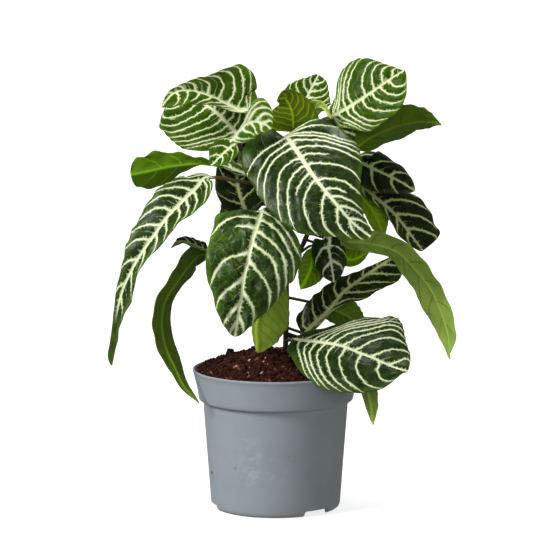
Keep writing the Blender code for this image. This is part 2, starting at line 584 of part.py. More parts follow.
def leaf_mesh(name, spec, along, across):
    rings = []
    for place, u, tangent, up, side in leaf_frames(spec, along):
        row = leaf_section(spec, u, across)
        top = [place + side * x - tangent * back + up * high for x, back, high, low in row]
        low = [place + side * x - tangent * back + up * low for x, back, high, low in row]
        rings.append((top, low))
    count = across + 1
    verts = []
    for top, low in rings:
        verts += [v * MM for v in top] + [v * MM for v in low]
    faces = []

    def at(i, j, layer):
        return i * 2 * count + layer * count + j

    last = len(rings) - 1
    for i in range(last):
        for j in range(across):
            a, b, c, d = (i, j), (i, j + 1), (i + 1, j + 1), (i + 1, j)
            halves = ((a, b, c), (a, c, d)) if j >= across // 2 else ((a, b, d), (b, c, d))
            for half in halves:
                faces.append([at(*p, 0) for p in half])
                faces.append([at(*p, 1) for p in reversed(half)])
        for j, order in ((0, 1), (across, -1)):
            quad = [at(i, j, 0), at(i + 1, j, 0), at(i + 1, j, 1), at(i, j, 1)]
            quad = quad[::order]
            faces += [quad[:3], [quad[0], quad[2], quad[3]]]
    for i, order in ((0, 1), (last, -1)):
        for j in range(across):
            quad = [at(i, j, 0), at(i, j, 1), at(i, j + 1, 1), at(i, j + 1, 0)][::order]
            faces += [quad[:3], [quad[0], quad[2], quad[3]]]
    mesh = bpy.data.meshes.new(name)
    mesh.from_pydata(verts, [], faces)
    face_out(mesh)
    return mesh


def build_leaves(parts):
    for name, spec in LEAVES.items():
        skin = material(f"{name}_green", (0.035, 0.12, 0.02), 0.45)
        put(name, leaf_mesh(name, spec, ALONG, ACROSS), parts, skin)


def main():
    clear_scene()
    random.seed(7)
    parts = collection("zebra_plant")
    cutters = collection("cutters")
    build_pot(parts, cutters)
    build_soil(parts, cutters)
    build_stem(parts, cutters)
    build_leaves(parts)


main()
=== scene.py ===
"""Zebra plant in a nursery pot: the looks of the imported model, piece by piece."""
import json
import math
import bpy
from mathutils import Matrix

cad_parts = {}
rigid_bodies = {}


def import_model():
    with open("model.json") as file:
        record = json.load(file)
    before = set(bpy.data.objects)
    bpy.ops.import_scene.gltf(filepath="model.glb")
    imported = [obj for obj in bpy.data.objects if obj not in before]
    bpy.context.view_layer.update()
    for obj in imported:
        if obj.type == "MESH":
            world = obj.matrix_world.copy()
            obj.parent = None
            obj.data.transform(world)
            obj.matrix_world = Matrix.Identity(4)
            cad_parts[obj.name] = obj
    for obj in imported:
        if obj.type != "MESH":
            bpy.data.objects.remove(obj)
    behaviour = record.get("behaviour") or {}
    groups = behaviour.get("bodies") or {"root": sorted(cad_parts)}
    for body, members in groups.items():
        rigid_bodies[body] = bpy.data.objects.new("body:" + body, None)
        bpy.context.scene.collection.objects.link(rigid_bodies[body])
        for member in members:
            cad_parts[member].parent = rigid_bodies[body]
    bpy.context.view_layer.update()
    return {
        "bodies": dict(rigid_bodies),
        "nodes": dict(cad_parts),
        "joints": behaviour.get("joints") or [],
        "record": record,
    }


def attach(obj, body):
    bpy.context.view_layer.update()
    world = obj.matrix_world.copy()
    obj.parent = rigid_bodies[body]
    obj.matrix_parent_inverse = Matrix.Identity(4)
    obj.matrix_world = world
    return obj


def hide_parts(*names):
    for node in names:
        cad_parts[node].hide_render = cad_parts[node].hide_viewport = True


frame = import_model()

from types import SimpleNamespace

import bpy
import numpy as np
from bpy.props import FloatProperty, FloatVectorProperty, IntProperty, PointerProperty
from mathutils import Matrix, Vector, noise

bl_info = {
    "name": "Potted Zebra Plant",
    "version": (1, 0, 0),
    "blender": (4, 5, 0),
    "location": "View3D > Sidebar > Zebra Plant",
    "description": "Dresses the packed zebra plant: veined leaves, stem, soil and pot",
    "category": "Object",
}

MM = 0.001
BODY = "root"

# Pot, in metres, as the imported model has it
POT_HEIGHT = 0.1015
RIM_RADIUS = 0.060
COLLAR_HEIGHT = 0.023
COLLAR_LOW_RADIUS = 0.0563
SHOULDER_RADIUS = 0.0525
FOOT_RADIUS = 0.0468
WALL = 0.0012
FLOOR_UNDER = 0.0046
PAD_RADIUS = 0.016
FOOT_WIDTH = 0.0035
NOTCH_ANGLES = (-49.0, 71.0, 191.0)
NOTCH_WIDTH = 0.023
DRAIN_RADIUS = 0.0035
DRAIN_RING = 0.029
DRAIN_COUNT = 6
SOIL_EDGE = 0.0985
SOIL_CROWN = 0.1125
CROWN_AT = (-0.004, 0.006)

# Pot and soil, what this script adds, in metres
FOOT_ROUND = 0.0036     # height of the rounded foot
LIP_ROUND = 0.0022      # height of the rounding at the collar's edge and under the rim
NOTCH_SIZE = (0.012, NOTCH_WIDTH, 0.0092)
NOTCH_ROUND = 0.0018
DENT_ANGLE = 188        # where the collar is pressed in, and how far round, in degrees
DENT_REACH = 40
DRAIN_CUT = 0.008       # height of what cuts a drain hole, and of its middle
DRAIN_CUT_AT = 0.006
# Specks of peat stuck to the front of the pot: x and z in mm, and size
POT_MARKS = ((-28.9, 35.5, 0.7), (-46.0, 27.5, 0.9), (-45.2, 24.6, 0.6), (-24.0, 21.0, 0.3),
             (9.5, 46.0, 0.3))
SCUFFS_AT = (-12, 40)   # x and z in mm, and how far the pale scuffs spread
SCUFFS_REACH = 26
BED_RADIUS = 0.0572
BED_DEPTH = 0.012
BED_FACETS = 128
BED_RINGS = 40
RING_WIDTH = 0.00135
CROWN_REACH = 0.058     # how far the mound slopes away from its crown
LEVEL_FROM = 0.0555     # the lumps fade out from here to the pot's wall
LEVEL_FADE = 0.012
# Lumps of the soil: height, slice of the noise, and how many to the metre
LUMPS = ((0.0017, 0.3, 90), (0.0010, 4, 260), (0.0011, 2, 420), (0.0008, 9, 900))

# Stage, in metres
FLOOR_WIDTH = 14.0
FLOOR_FRONT = -5.0
FLOOR_BACK = 3.0
FLOOR_TURN_STEPS = 12   # the floor turns up into the wall in these steps
FLOOR_TURN_STEP = 0.2
BACKDROP_HEIGHT = 5.0
# Soft lights: place, what they point at, size, and power beside the key light's
LIGHTS = {
    "key_left": ((-1.45, -0.95, 1.30), (0, 0, 0.17), (0.6, 0.8), 1.0),
    "top": ((0.1, 0.3, 1.9), (0, 0, 0.1), (0.7, 0.7), 0.5),
    "fill_front": ((0.3, -2.3, 0.9), (0, 0, 0.2), (0.3, 0.8), 0.18),
    "backdrop": ((0, 2.2, 2.6), (0, 4.6, 0.6), (4.0, 1.5), 3.0),
}
WORLD_LIGHT = 0.27
CAMERA_DISTANCE = 2.6
CAMERA_LENS = 234.5     # mm, at that distance
CAMERA_AIM = Vector((0.00101, 0, 0.170))
CAMERA_DROP = 0.00205

# Shoots of the stem: points in mm with the radius there, and from where the bark turns green
GREEN_FROM, GREEN_TO = 190, 250
SHOOTS = {
    "main": [(7, 8, 99, 2.1), (7.4, 8, 125, 2.0), (8, 8, 150, 1.9), (7.4, 7, 172, 2.1),
             (6, 5, 190, 2.0), (5, 4, 200, 2.3)],
    "left": [(5.8, 4.8, 193, 1.6), (3, 4, 203, 1.9), (-5, 4, 220, 1.7), (-17, 3, 245, 1.6),
             (-25, 1, 262, 1.4), (-28, -1, 270, 0.8)],
    "middle": [(5.6, 4.6, 190, 1.5), (6, 4, 203, 1.9), (10, 4, 225, 1.7), (15, 5, 252, 1.6),
               (18, 6, 276, 1.4), (19, 6, 285, 0.8)],
    "right": [(7.5, 7.2, 168, 1.4), (11, 9, 177, 1.9), (20, 14, 190, 1.7), (31, 19, 220, 1.6),
              (36, 19, 250, 1.5), (38, 17, 272, 1.3), (39, 16, 280, 0.8)],
}

# Leaves
HAND_STEP = 40          # added to the phase on the right half, so that the halves differ
RIB_STEPS = 240         # steps along a rib, where its frames are found
BLADE_HALF = 0.26       # half the thickness of a blade in mm
LEAF_ROWS = (40, 96)    # fewest and most rows and columns of points on a leaf
LEAF_COLUMNS = (25, 57)
ROWS_PER_MM = 0.75
COLUMNS_PER_MM = 1.5
# What a leaf has where its row says nothing else
PLAIN_LEAF = dict(fold=(8, 8), curl=(0, 0), peak=0.42, point=1.5, wave=(0, 2, 0), stalk=1.3,
                  lobe=(0, 0), tone="dark", faint=((), ()), basal=((1, 0.6), (1, 0.6)),
                  broad=1.0, puff=0.7, scallop=0.35, shade=1.0, plain=1.1)
LEAVES = {}


def leaf(name, rib, up, half, count=8, veins=None, sweep=(-0.1, 0.9, 0.7, 3), **own):
    """Note down a leaf, in mm and degrees, left half first.

    Its shape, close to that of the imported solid: rib runs through points from the stem over the
    blade's foot to its tip, and up is the way that the upper face looks along it. half: widths
    at even steps or only the widest. fold and curl: how the half rises, and how it bends
    outward. peak and point: where the blade is widest, and how sharp it ends. wave: height,
    number and turn of the waves. stalk: radius. lobe: how far it reaches back past the foot.

    Its look: tone is the finish it takes. veins: where they leave the rib, as shares of its
    length, or count of them. faint: which of them stay short. sweep: how they lean forward at
    the foot and at the tip, how they bend forward towards the margin and how late. basal: veins
    that fan out of the foot, and their spread. broad: width of the veins. puff: height of the
    blade between them. scallop: swing of the margin. shade: how light the blade is. plain:
    share of the length from which no vein shows."""
    LEAVES[name] = {
        **PLAIN_LEAF, **own, "rib": rib, "half": half, "seed": len(LEAVES) + 1,
        "up": up if len(up) > 1 else up * 2,
        "veins": veins or (even_veins(count, 0.0), even_veins(count, 0.04)),
        "sweep": sweep if isinstance(sweep[0], tuple) else (sweep, sweep),
    }


def even_veins(count, late):
    """Where the side veins leave the rib, as shares of its length: closer towards the foot."""
    return [late * (k > 0) + 0.9 * (k / count) ** 1.15 for k in range(count)]


leaf("leaf_front_top",
     rib=[(14, 4, 246), (7, -6, 270), (16, -18, 260), (24, -30, 249), (33, -40, 238),
          (43, -48, 227), (54, -53, 215), (67, -56, 205)],
     up=[(-0.15, -0.75, 0.65), (-0.12, -0.85, 0.5), (-0.1, -0.8, 0.6)],
     half=([17, 33, 39, 36, 21, 11, 5], [5, 36, 40, 39, 32, 14, 6]), fold=(6, 4), curl=(-22, -18),
     wave=(1.0, 3, 0.2), lobe=(11, 31), broad=0.88, shade=0.8, puff=0.9,
     sweep=((-0.25, 1.0, 1.2, 2), (-0.85, 1.2, 1.25, 2)), basal=((2, 0.45), (0, 0.4)),
     faint=((4, 7), (5,)),
     veins=([0, 0.035, 0.085, 0.15, 0.225, 0.31, 0.455, 0.545, 0.61, 0.7, 0.81],
            [0, 0.085, 0.135, 0.235, 0.31, 0.375, 0.44, 0.57, 0.7, 0.82]))
leaf("leaf_front_low",
     rib=[(-3, 4, 217), (-9, -14, 218), (-13, -28, 210), (-17, -38, 198), (-19, -43, 188),
          (-22, -46, 176), (-24, -47, 162), (-27, -46, 145), (-29, -43, 131)],
     up=[(0, -0.5, 0.86), (0, -0.9, 0.43), (0, -0.98, 0.2)],
     half=([13, 25, 36, 35, 26, 14, 6], [13, 31, 31, 31, 23, 15, 7]), fold=(4, 4),
     curl=(-25, -25), wave=(1.2, 3, 0.5), lobe=(8, 8), broad=1.3, shade=1.35, puff=2.4,
     sweep=((0.0, 1.3, 1.0, 3), (-0.3, 1.8, 0.7, 3)), basal=((0, 0.6), (0, 0.6)),
     faint=((), (0, 2)),
     veins=([0.02, 0.12, 0.22, 0.32, 0.45, 0.67, 0.84],
            [0.02, 0.11, 0.19, 0.385, 0.565, 0.75, 0.89]))
leaf("leaf_left_drooping",
     rib=[(-12.5, 3.8, 234.5), (-47, 2, 240), (-57, -4, 233), (-67, -10, 224), (-78, -15, 213),
          (-86, -18, 202), (-94, -20, 191), (-103, -21, 176), (-110, -20, 160), (-115, -18, 138),
          (-118, -16, 106)],
     up=[(-0.3, -0.7, 0.65), (-0.45, -0.75, 0.45), (-0.6, -0.75, 0.3), (-0.8, -0.55, 0.2)],
     half=([9, 18, 15, 9, 13, 7, 2], [9, 18, 19, 12, 4, 3, 4]), fold=(14, 18), curl=(0, -10),
     point=2.1, wave=(1.4, 4, 0.1), lobe=(4, 4), puff=0.6, plain=0.74, sweep=(0.1, 1.0, 0.8, 3),
     veins=([0.0, 0.04, 0.11, 0.16, 0.21, 0.29, 0.36, 0.45, 0.56, 0.68],
            [0, 0.05, 0.11, 0.17, 0.24, 0.32, 0.4, 0.5, 0.62]))
leaf("leaf_left_folded",
     rib=[(-27, 1, 265), (-20, 8, 286), (-28, 8, 289), (-38, 8, 294), (-48, 6, 299),
          (-58, 4, 302), (-68, 0, 303), (-75, -4, 300), (-82, -8, 292)],
     up=[(0, -0.2, 0.98), (0, -0.2, 0.98), (-0.3, -0.2, 0.9)],
     half=([2, 3, 8, 15, 20, 17, 6], [3, 22, 30, 14, 5, 3, 1]), fold=(-10, 62), curl=(-10, 10),
     wave=(0.8, 3, 0), lobe=(9, 14), tone="bright", puff=0.9, sweep=(-0.3, 0.6, 0.8, 3))
leaf("leaf_left_back",
     rib=[(-27, 2, 261), (-27, 9, 269), (-37, 17, 280), (-47, 23, 288), (-59, 30, 294),
          (-74, 36, 300)],
     up=[(-0.2, -0.85, 0.5), (-0.25, -0.85, 0.5)], half=([11, 22, 33, 36, 35, 32, 27], 24),
     fold=(4, 8), curl=(-14, 0), wave=(0.8, 3, 0.4), lobe=(6, 6), tone="bright", puff=0.9,
     sweep=(-0.1, 0.6, 0.8, 3))
leaf("leaf_young_left",
     rib=[(-28, -1, 269), (-32, -10, 267), (-27, -12, 274), (-21, -13, 280), (-15, -13, 282),
          (-9, -15, 281), (-3, -17, 277)],
     up=[(-0.1, -0.95, 0.3)], half=([0, 1, 1, 4, 17, 10, 3], [3, 8, 11, 13, 13, 9, 3]),
     fold=(10, 6), curl=(0, -10), stalk=1.0, tone="young", broad=1.2, puff=0.5,
     veins=([0.2, 0.38, 0.52, 0.66, 0.8],
            [0.15, 0.35, 0.55, 0.75]))
leaf("leaf_young_low",
     rib=[(-23, 2, 258), (-28, -3, 265), (-37, -8, 259), (-46, -11, 250)],
     up=[(-0.3, -0.85, 0.4)], half=(10, 11), fold=(6, 6), peak=0.45, point=1.4, stalk=1.0,
     tone="bright", count=3, broad=0.8, puff=0.3)
leaf("leaf_young_olive",
     rib=[(16.3, 5.3, 264), (13, 1, 273), (12, 0, 287), (7, -2, 297), (1, -6, 297)],
     up=[(0, 0.95, 0.3), (-0.3, 0.9, 0.4)], half=([19, 19, 15, 9, 3], [21, 22, 18, 11, 4]),
     fold=(10, 10), peak=0.5, point=1.2, stalk=1.0, tone="young", count=7, puff=0.3)
leaf("leaf_young_pale",
     rib=[(18.5, 6, 278), (22, 9, 279), (28, 9, 289), (34, 5, 290), (40, -2, 283)],
     up=[(0.1, 0.6, 0.8), (0.3, 0.6, 0.7)], half=(7, 7), peak=0.5, point=1.4, stalk=0.9,
     tone="young", puff=0.2)
leaf("leaf_top_back",
     rib=[(19, 6.2, 284), (21, 24, 280), (21, 26, 286), (22, 28, 293), (25, 31, 300),
          (31, 34, 311)],
     up=[(0, -0.9, 0.4)], half=([3, 6, 16, 17, 12, 6, 3], [4, 7, 15, 18, 15, 11, 7]), fold=(6, 6),
     stalk=1.0, lobe=(4, 4), tone="bright", count=6, puff=0.6)
leaf("leaf_top_right",
     rib=[(39, 16, 277), (41, 10, 283), (55, 8, 292), (68, 4, 301), (80, 0, 310), (92, -2, 318)],
     up=[(-0.3, -0.85, 0.45)], half=([5, 11, 26, 30, 23, 11, 2], [8, 15, 25, 26, 25, 20, 8]),
     fold=(4, 4), curl=(-8, -8), wave=(0.8, 3, 0.3), lobe=(5, 5), tone="bright", puff=1.0,
     sweep=(-0.2, 0.6, 0.8, 3),
     veins=([0, 0.08, 0.18, 0.26, 0.45, 0.57, 0.7, 0.83],
            [0, 0.08, 0.18, 0.255, 0.4, 0.525, 0.65, 0.77]))
leaf("leaf_right_under",
     rib=[(38, 17, 270), (55, 16, 260), (69, 14, 268), (84, 12, 275), (98, 8, 279), (109, 5, 280),
          (119, 2, 278)],
     up=[(0.1, 0.8, 0.6), (0.1, 0.6, 0.8)],
     half=([5, 12, 16, 18, 15, 11, 3], [4, 9, 13, 16, 18, 11, 3]), fold=(14, 14),
     wave=(0.8, 3, 0.3), puff=0.5)
leaf("leaf_right_dark",
     rib=[(37, 19, 255), (58, 16, 251), (65, 12, 248), (79, 6, 242), (90, 2, 237),
          (100, -2, 231)],
     up=[(0.1, -0.8, 0.6)], half=([10, 21, 19, 17, 14, 8, 3], [4, 9, 15, 15, 12, 8, 3]),
     fold=(-4, -4), curl=(-30, -20), lobe=(5, 5), tone="deep", count=3, broad=1.6, puff=0.8)
leaf("leaf_right_low",
     rib=[(36, 19, 243), (62, 14, 232), (74, 9, 223), (84, 5, 215), (92, 1, 206), (99, -3, 197),
          (106, -6, 188)],
     up=[(0.2, -0.8, 0.55), (0.2, -0.8, 0.5)],
     half=([4, 9, 16, 24, 23, 20, 18], [2, 5, 4, 6, 8, 6, 3]), fold=(4, 4), curl=(-10, -10),
     wave=(0.6, 3, 0.3), lobe=(3, 3), tone="deep", count=5, broad=1.5, puff=0.6,
     sweep=(0.0, 0.9, 0.8, 3))
leaf("leaf_right_arching",
     rib=[(24, 16, 198), (39, 14, 194), (52, 10, 193), (69, 4, 192), (87, -1, 187),
          (100, -5, 175), (112, -7, 160), (120, -8, 142), (125, -8, 125), (126, -7, 109)],
     up=[(0, 0.75, 0.65), (0.3, 0.8, 0.6), (0.7, 0.65, 0.3), (0.85, 0.5, 0.1)],
     half=([9, 11, 11, 16, 21, 17, 6], [6, 11, 12, 11, 10, 9, 1]), fold=(6, 6), wave=(0.6, 4, 0),
     puff=0.3)
leaf("leaf_olive_hanging",
     rib=[(34, 18, 235), (55, 22, 228), (65, 20, 221), (73, 16, 209), (78, 12, 195)],
     up=[(0.2, 0.9, 0.3), (0.2, 0.95, 0.1)], half=([3, 6, 7, 7, 7, 5, 2], [2, 5, 7, 10, 9, 5, 2]),
     fold=(6, 6), stalk=1.0)
leaf("leaf_lime_hanging",
     rib=[(14, 10.5, 181), (26, 13, 189), (27, 10, 180), (24, 7, 170), (18, 5, 158)],
     up=[(0, 0.9, 0.4), (0, 0.98, 0.1)], half=(9, 12), fold=(6, 6), peak=0.45, point=1.7,
     stalk=1.0)
leaf("leaf_lime_right",
     rib=[(22, 15, 193), (35, 31, 186), (44, 28, 180), (56, 25, 177), (68, 23, 184)],
     up=[(0, 0.9, 0.4)], half=(6.5, 11), fold=(6, 6), peak=0.45, point=1.4, stalk=1.0)
leaf("leaf_small_dark",
     rib=[(13, 5, 235), (37, 4, 199), (38, 0, 190), (40, -4, 179), (42, -6, 165)],
     up=[(0, -0.95, 0.3), (0, -0.98, 0.1)], half=(12, 13), fold=(4, 4), curl=(-20, -20),
     peak=0.45, point=1.25, wave=(0.6, 3, 0.3), stalk=1.0, count=3, broad=1.2, shade=0.7, puff=0.5)
leaf("leaf_low_long",
     rib=[(7.2, 8, 125), (18, -2, 124), (26, -4, 133), (36, -4, 142), (43, -3, 150), (49, 0, 157),
          (59, 5, 164), (70, 11, 171), (82, 17, 178), (93, 21, 183)],
     up=[(-0.2, -0.7, 0.6), (-0.2, -0.75, 0.6)],
     half=([10, 15, 16, 11, 5, 2, 1], [1, 4, 3, 13, 16, 17, 8]), fold=(8, 0), curl=(0, -20),
     wave=(0.6, 4, 0.3), stalk=2.0, tone="deep", puff=0.3,
     sweep=((-0.2, 0.6, 0.7, 3), (0.9, 1.0, 0.5, 3)))
leaf("leaf_low_under",
     rib=[(7.8, 8, 152), (31, 8, 147), (41, 12, 143), (53, 14, 137), (65, 12, 130)],
     up=[(0, 0.8, 0.6)], half=(14, 14), peak=0.5, point=1.4, stalk=1.1)
leaf("leaf_front_right",
     rib=[(7.1, 8, 120), (13, -10, 124), (23, -21, 125), (35, -30, 125), (47, -37, 124),
          (59, -41, 120), (71, -45, 116), (83, -48, 111), (94, -50, 108)],
     up=[(-0.05, -0.6, 0.8)], half=([5, 13, 23, 35, 46, 32, 20], [9, 17, 31, 38, 34, 23, 4]),
     fold=(0, 0), curl=(-10, -16), wave=(0.8, 3, 0), lobe=(6, 6), broad=0.85, shade=0.85,
     puff=0.5, sweep=((0.0, 0.9, 0.8, 3), (-0.5, 0.4, 1.0, 3)), basal=((0, 0.6), (0, 0.6)),
     veins=([0.13, 0.2, 0.26, 0.315, 0.39, 0.465, 0.56, 0.7, 0.84],
            [0.1, 0.185, 0.25, 0.325, 0.405, 0.495, 0.62, 0.77]))
leaf("leaf_rim_tip",
     rib=[(7.3, 8, 130), (29, 2, 123), (50, -19, 116), (61, -31, 102), (67, -34, 87),
          (70, -34, 66)],
     up=[(0, 0.6, 0.8), (0.8, 0.5, 0.3), (0.6, 0.8, 0)], half=(9.5, 9.5), peak=0.6, point=2.5,
     stalk=1.1)
leaf("leaf_left_under",
     rib=[(-1, 4, 211), (-45, 6, 187), (-56, 0, 184), (-64, -8, 176), (-73, -15, 164),
          (-80, -20, 152), (-82, -23, 137), (-79, -26, 121), (-73, -28, 108), (-66, -32, 94),
          (-55, -35, 82)],
     up=[(-0.4, 0.7, 0.6), (-0.7, 0.6, 0.4), (-0.8, 0.5, 0.2), (-0.8, 0.55, 0), (-0.7, 0.7, 0)],
     half=([7, 14, 10, 11, 8, 4, 1], [11, 15, 10, 14, 12, 6, 2]), fold=(4, 4))
leaf("leaf_small_curled",
     rib=[(-3, 3, 217), (-43, -7, 189), (-51, -10, 190), (-58, -12, 193), (-66, -13, 196),
          (-71, -14, 194), (-75, -14, 191)],
     up=[(0, -0.3, 0.95)], half=(8, 8), fold=(10, 10), peak=0.4, point=1.8, stalk=1.0,
     tone="deep", count=6, puff=0.2)
leaf("leaf_left_upper",
     rib=[(-14.5, 3.2, 240), (-20, 8, 241), (-27, 9, 244), (-35, 9, 247), (-44, 8, 249),
          (-56, 6, 250), (-74, 3, 248), (-89, 0, 245), (-104, -2, 242)],
     up=[(0, -0.6, 0.8), (0, -0.2, 0.98), (0, 0.8, 0.6), (0, 0.95, 0.3), (0, 0.95, 0.3)],
     half=([5, 6, 6, 8, 12, 13, 8], [5, 6, 7, 10, 16, 17, 12]), fold=(10, 10), curl=(0, 20),
     wave=(0.8, 3, 0.3), count=6, puff=0.9, scallop=1.1)
leaf("leaf_dark_behind",
     rib=[(-7, 4, 224), (-18, 12, 212), (-24, 16, 220), (-28, 22, 238), (-24, 27, 266)],
     up=[(0, -0.9, 0.4)], half=([11, 15, 16, 12, 7], [16, 18, 18, 17, 14]), fold=(4, 4),
     peak=0.45, point=1.2, stalk=1.1, tone="deep", count=4, puff=0.4, sweep=(0.3, 0.9, 0.4, 3))
leaf("leaf_back_high",
     rib=[(14.6, 5, 251), (20, 26, 260), (32, 32, 265), (47, 38, 270), (64, 40, 264)],
     up=[(0, -0.8, 0.6)], half=(14, 16), curl=(-10, -10), peak=0.45, point=1.3,
     wave=(1.0, 3, 0.3), tone="deep", count=3, shade=2.0, puff=0.4)
leaf("leaf_back_right",
     rib=[(33, 20, 232), (38, 38, 238), (46, 54, 232), (52, 70, 212), (54, 80, 190)],
     up=[(0, 0.1, 1), (0.1, 0.6, 0.8), (0.2, 0.9, 0.3)], half=(17, 17), curl=(-10, -10),
     point=1.4, wave=(1.0, 3, 0.6))
leaf("leaf_back_left",
     rib=[(-10, 4, 230), (-9, 28, 227), (-21, 45, 217), (-27, 62, 206), (-30, 76, 187)],
     up=[(-0.1, 0.1, 1), (-0.2, 0.6, 0.8), (-0.4, 0.8, 0.3)], half=(17, 17), curl=(-10, -10),
     point=1.4, wave=(1.0, 3, 0.1))
leaf("leaf_back_low",
     rib=[(7.6, 7.6, 165), (2, 26, 182), (-6, 48, 186), (-12, 68, 172), (-14, 84, 148)],
     up=[(0, 0.1, 1), (0, 0.6, 0.8), (0, 0.95, 0.3)], half=(20, 20), curl=(-10, -10), point=1.4,
     wave=(1.0, 3, 0.8))
leaf("leaf_back_lowest",
     rib=[(7.2, 8, 134), (-2, 26, 150), (-10, 46, 152), (-16, 62, 140), (-18, 74, 120)],
     up=[(0, 0.1, 1), (-0.2, 0.6, 0.8), (-0.4, 0.8, 0.3)], half=(14, 14), curl=(-10, -10),
     point=1.4, wave=(1.0, 3, 0.4))
leaf("leaf_low_hanging",
     rib=[(7, 7, 179), (-3, 3, 168), (-9, -2, 151), (-13, -6, 134), (-13, -8, 122),
          (-13, -9, 114)],
     up=[(0.1, 1, 0.1)], half=([4, 4, 5, 4, 4, 3, 1], [12, 16, 19, 22, 21, 15, 6]), fold=(4, 4),
     wave=(0.6, 3, 0.3), stalk=1.1)


# Settings that a user would change
def colour_setting(name, description, default):
    return FloatVectorProperty(name=name, description=description, default=default,
                               subtype="COLOR")


def length_setting(name, description, default, low, high):
    return FloatProperty(name=name, description=description, default=default, unit="LENGTH",
                         min=low, max=high)


class ZebraLeafSettings(bpy.types.PropertyGroup):
    vein_width: length_setting("Vein Width", "Half width of a side vein at the rib",
                               0.0010, 0.0002, 0.003)
    rib_width: length_setting("Rib Width", "Half width of the pale band on the rib",
                              0.0018, 0.0002, 0.006)
    relief: FloatProperty(name="Relief", description="How much the blade puffs up between veins",
                          default=1.0, subtype="FACTOR", min=0.0, max=2.0)
    # dark is the grown blade's green in painted shade and the lit green is the same green in
    # painted light; the two fresh greens are the fresh blade's pair
    dark: colour_setting("Dark Green", "Grown blade in its folds", (0.011, 0.026, 0.004))
    dark_painted_light: colour_setting("Lit Green", "Grown blade beside its veins", (0.080, 0.160, 0.014))
    fresh: colour_setting("Fresh Green", "Fresh blade in its folds", (0.028, 0.080, 0.0015))
    fresh_painted_light: colour_setting("Lit Fresh Green", "Fresh blade beside its veins",
                                (0.120, 0.230, 0.015))
    vein: colour_setting("Vein Colour", "Cream of the veins", (0.80, 0.86, 0.56))


class ZebraPotSettings(bpy.types.PropertyGroup):
    colour: colour_setting("Pot Colour", "Moulded plastic", (0.345, 0.385, 0.418))
    steps: IntProperty(name="Steps", description="Facets round the pot", default=192, min=48,
                       max=512)
    dent: length_setting("Dent", "How far the collar is pressed in on the left",
                         0.0008, 0.0, 0.004)


class ZebraSoilSettings(bpy.types.PropertyGroup):
    colour: colour_setting("Peat Colour", "Damp red brown peat", (0.046, 0.0098, 0.0050))
    crumbs: IntProperty(name="Crumbs", description="Loose crumbs on the soil", default=2600,
                        min=0, max=5000)


class ZebraStageSettings(bpy.types.PropertyGroup):
    distance: length_setting("Camera Distance", "From the middle of the plant",
                             CAMERA_DISTANCE, 0.5, 10)
    pitch: FloatProperty(name="Camera Pitch", description="How far the camera looks down",
                         default=math.radians(8.46), subtype="ANGLE")
    key: FloatProperty(name="Key Light", description="Power of the soft light on the left",
                       default=37.0, min=0, max=500)


# Shader maths as expressions
class Wire:
    """A socket that takes part in Python expressions; each operator adds a Math node."""

    def __init__(self, finish, socket):
        self.finish, self.socket = finish, socket

    def math(self, operation, *others):
        return self.finish.node("ShaderNodeMath", {"operation": operation}, [self, *others])

    def max(self, other):
        return self.math("MAXIMUM", other)

    def __add__(self, other):
        return self.math("ADD", other)

    __radd__ = __add__

    def __sub__(self, other):
        return self.math("SUBTRACT", other)

    def __rsub__(self, other):
        return self.finish.node("ShaderNodeMath", {"operation": "SUBTRACT"}, [other, self])

    def __mul__(self, other):
        return self.math("MULTIPLY", other)

    __rmul__ = __mul__

    def __truediv__(self, other):
        return self.math("DIVIDE", other)

    def __rtruediv__(self, other):
        return self.finish.node("ShaderNodeMath", {"operation": "DIVIDE"}, [other, self])

    def __pow__(self, other):
        return self.math("POWER", other)

    def __abs__(self):
        return self.math("ABSOLUTE")

    def above(self, low, high):
        """0 below low, 1 above high, smooth between."""
        return self.finish.node("ShaderNodeMapRange", {"interpolation_type": "SMOOTHSTEP"},
                                {"Value": self, "From Min": low, "From Max": high})

    def below(self, low, high):
        return 1 - self.above(low, high)


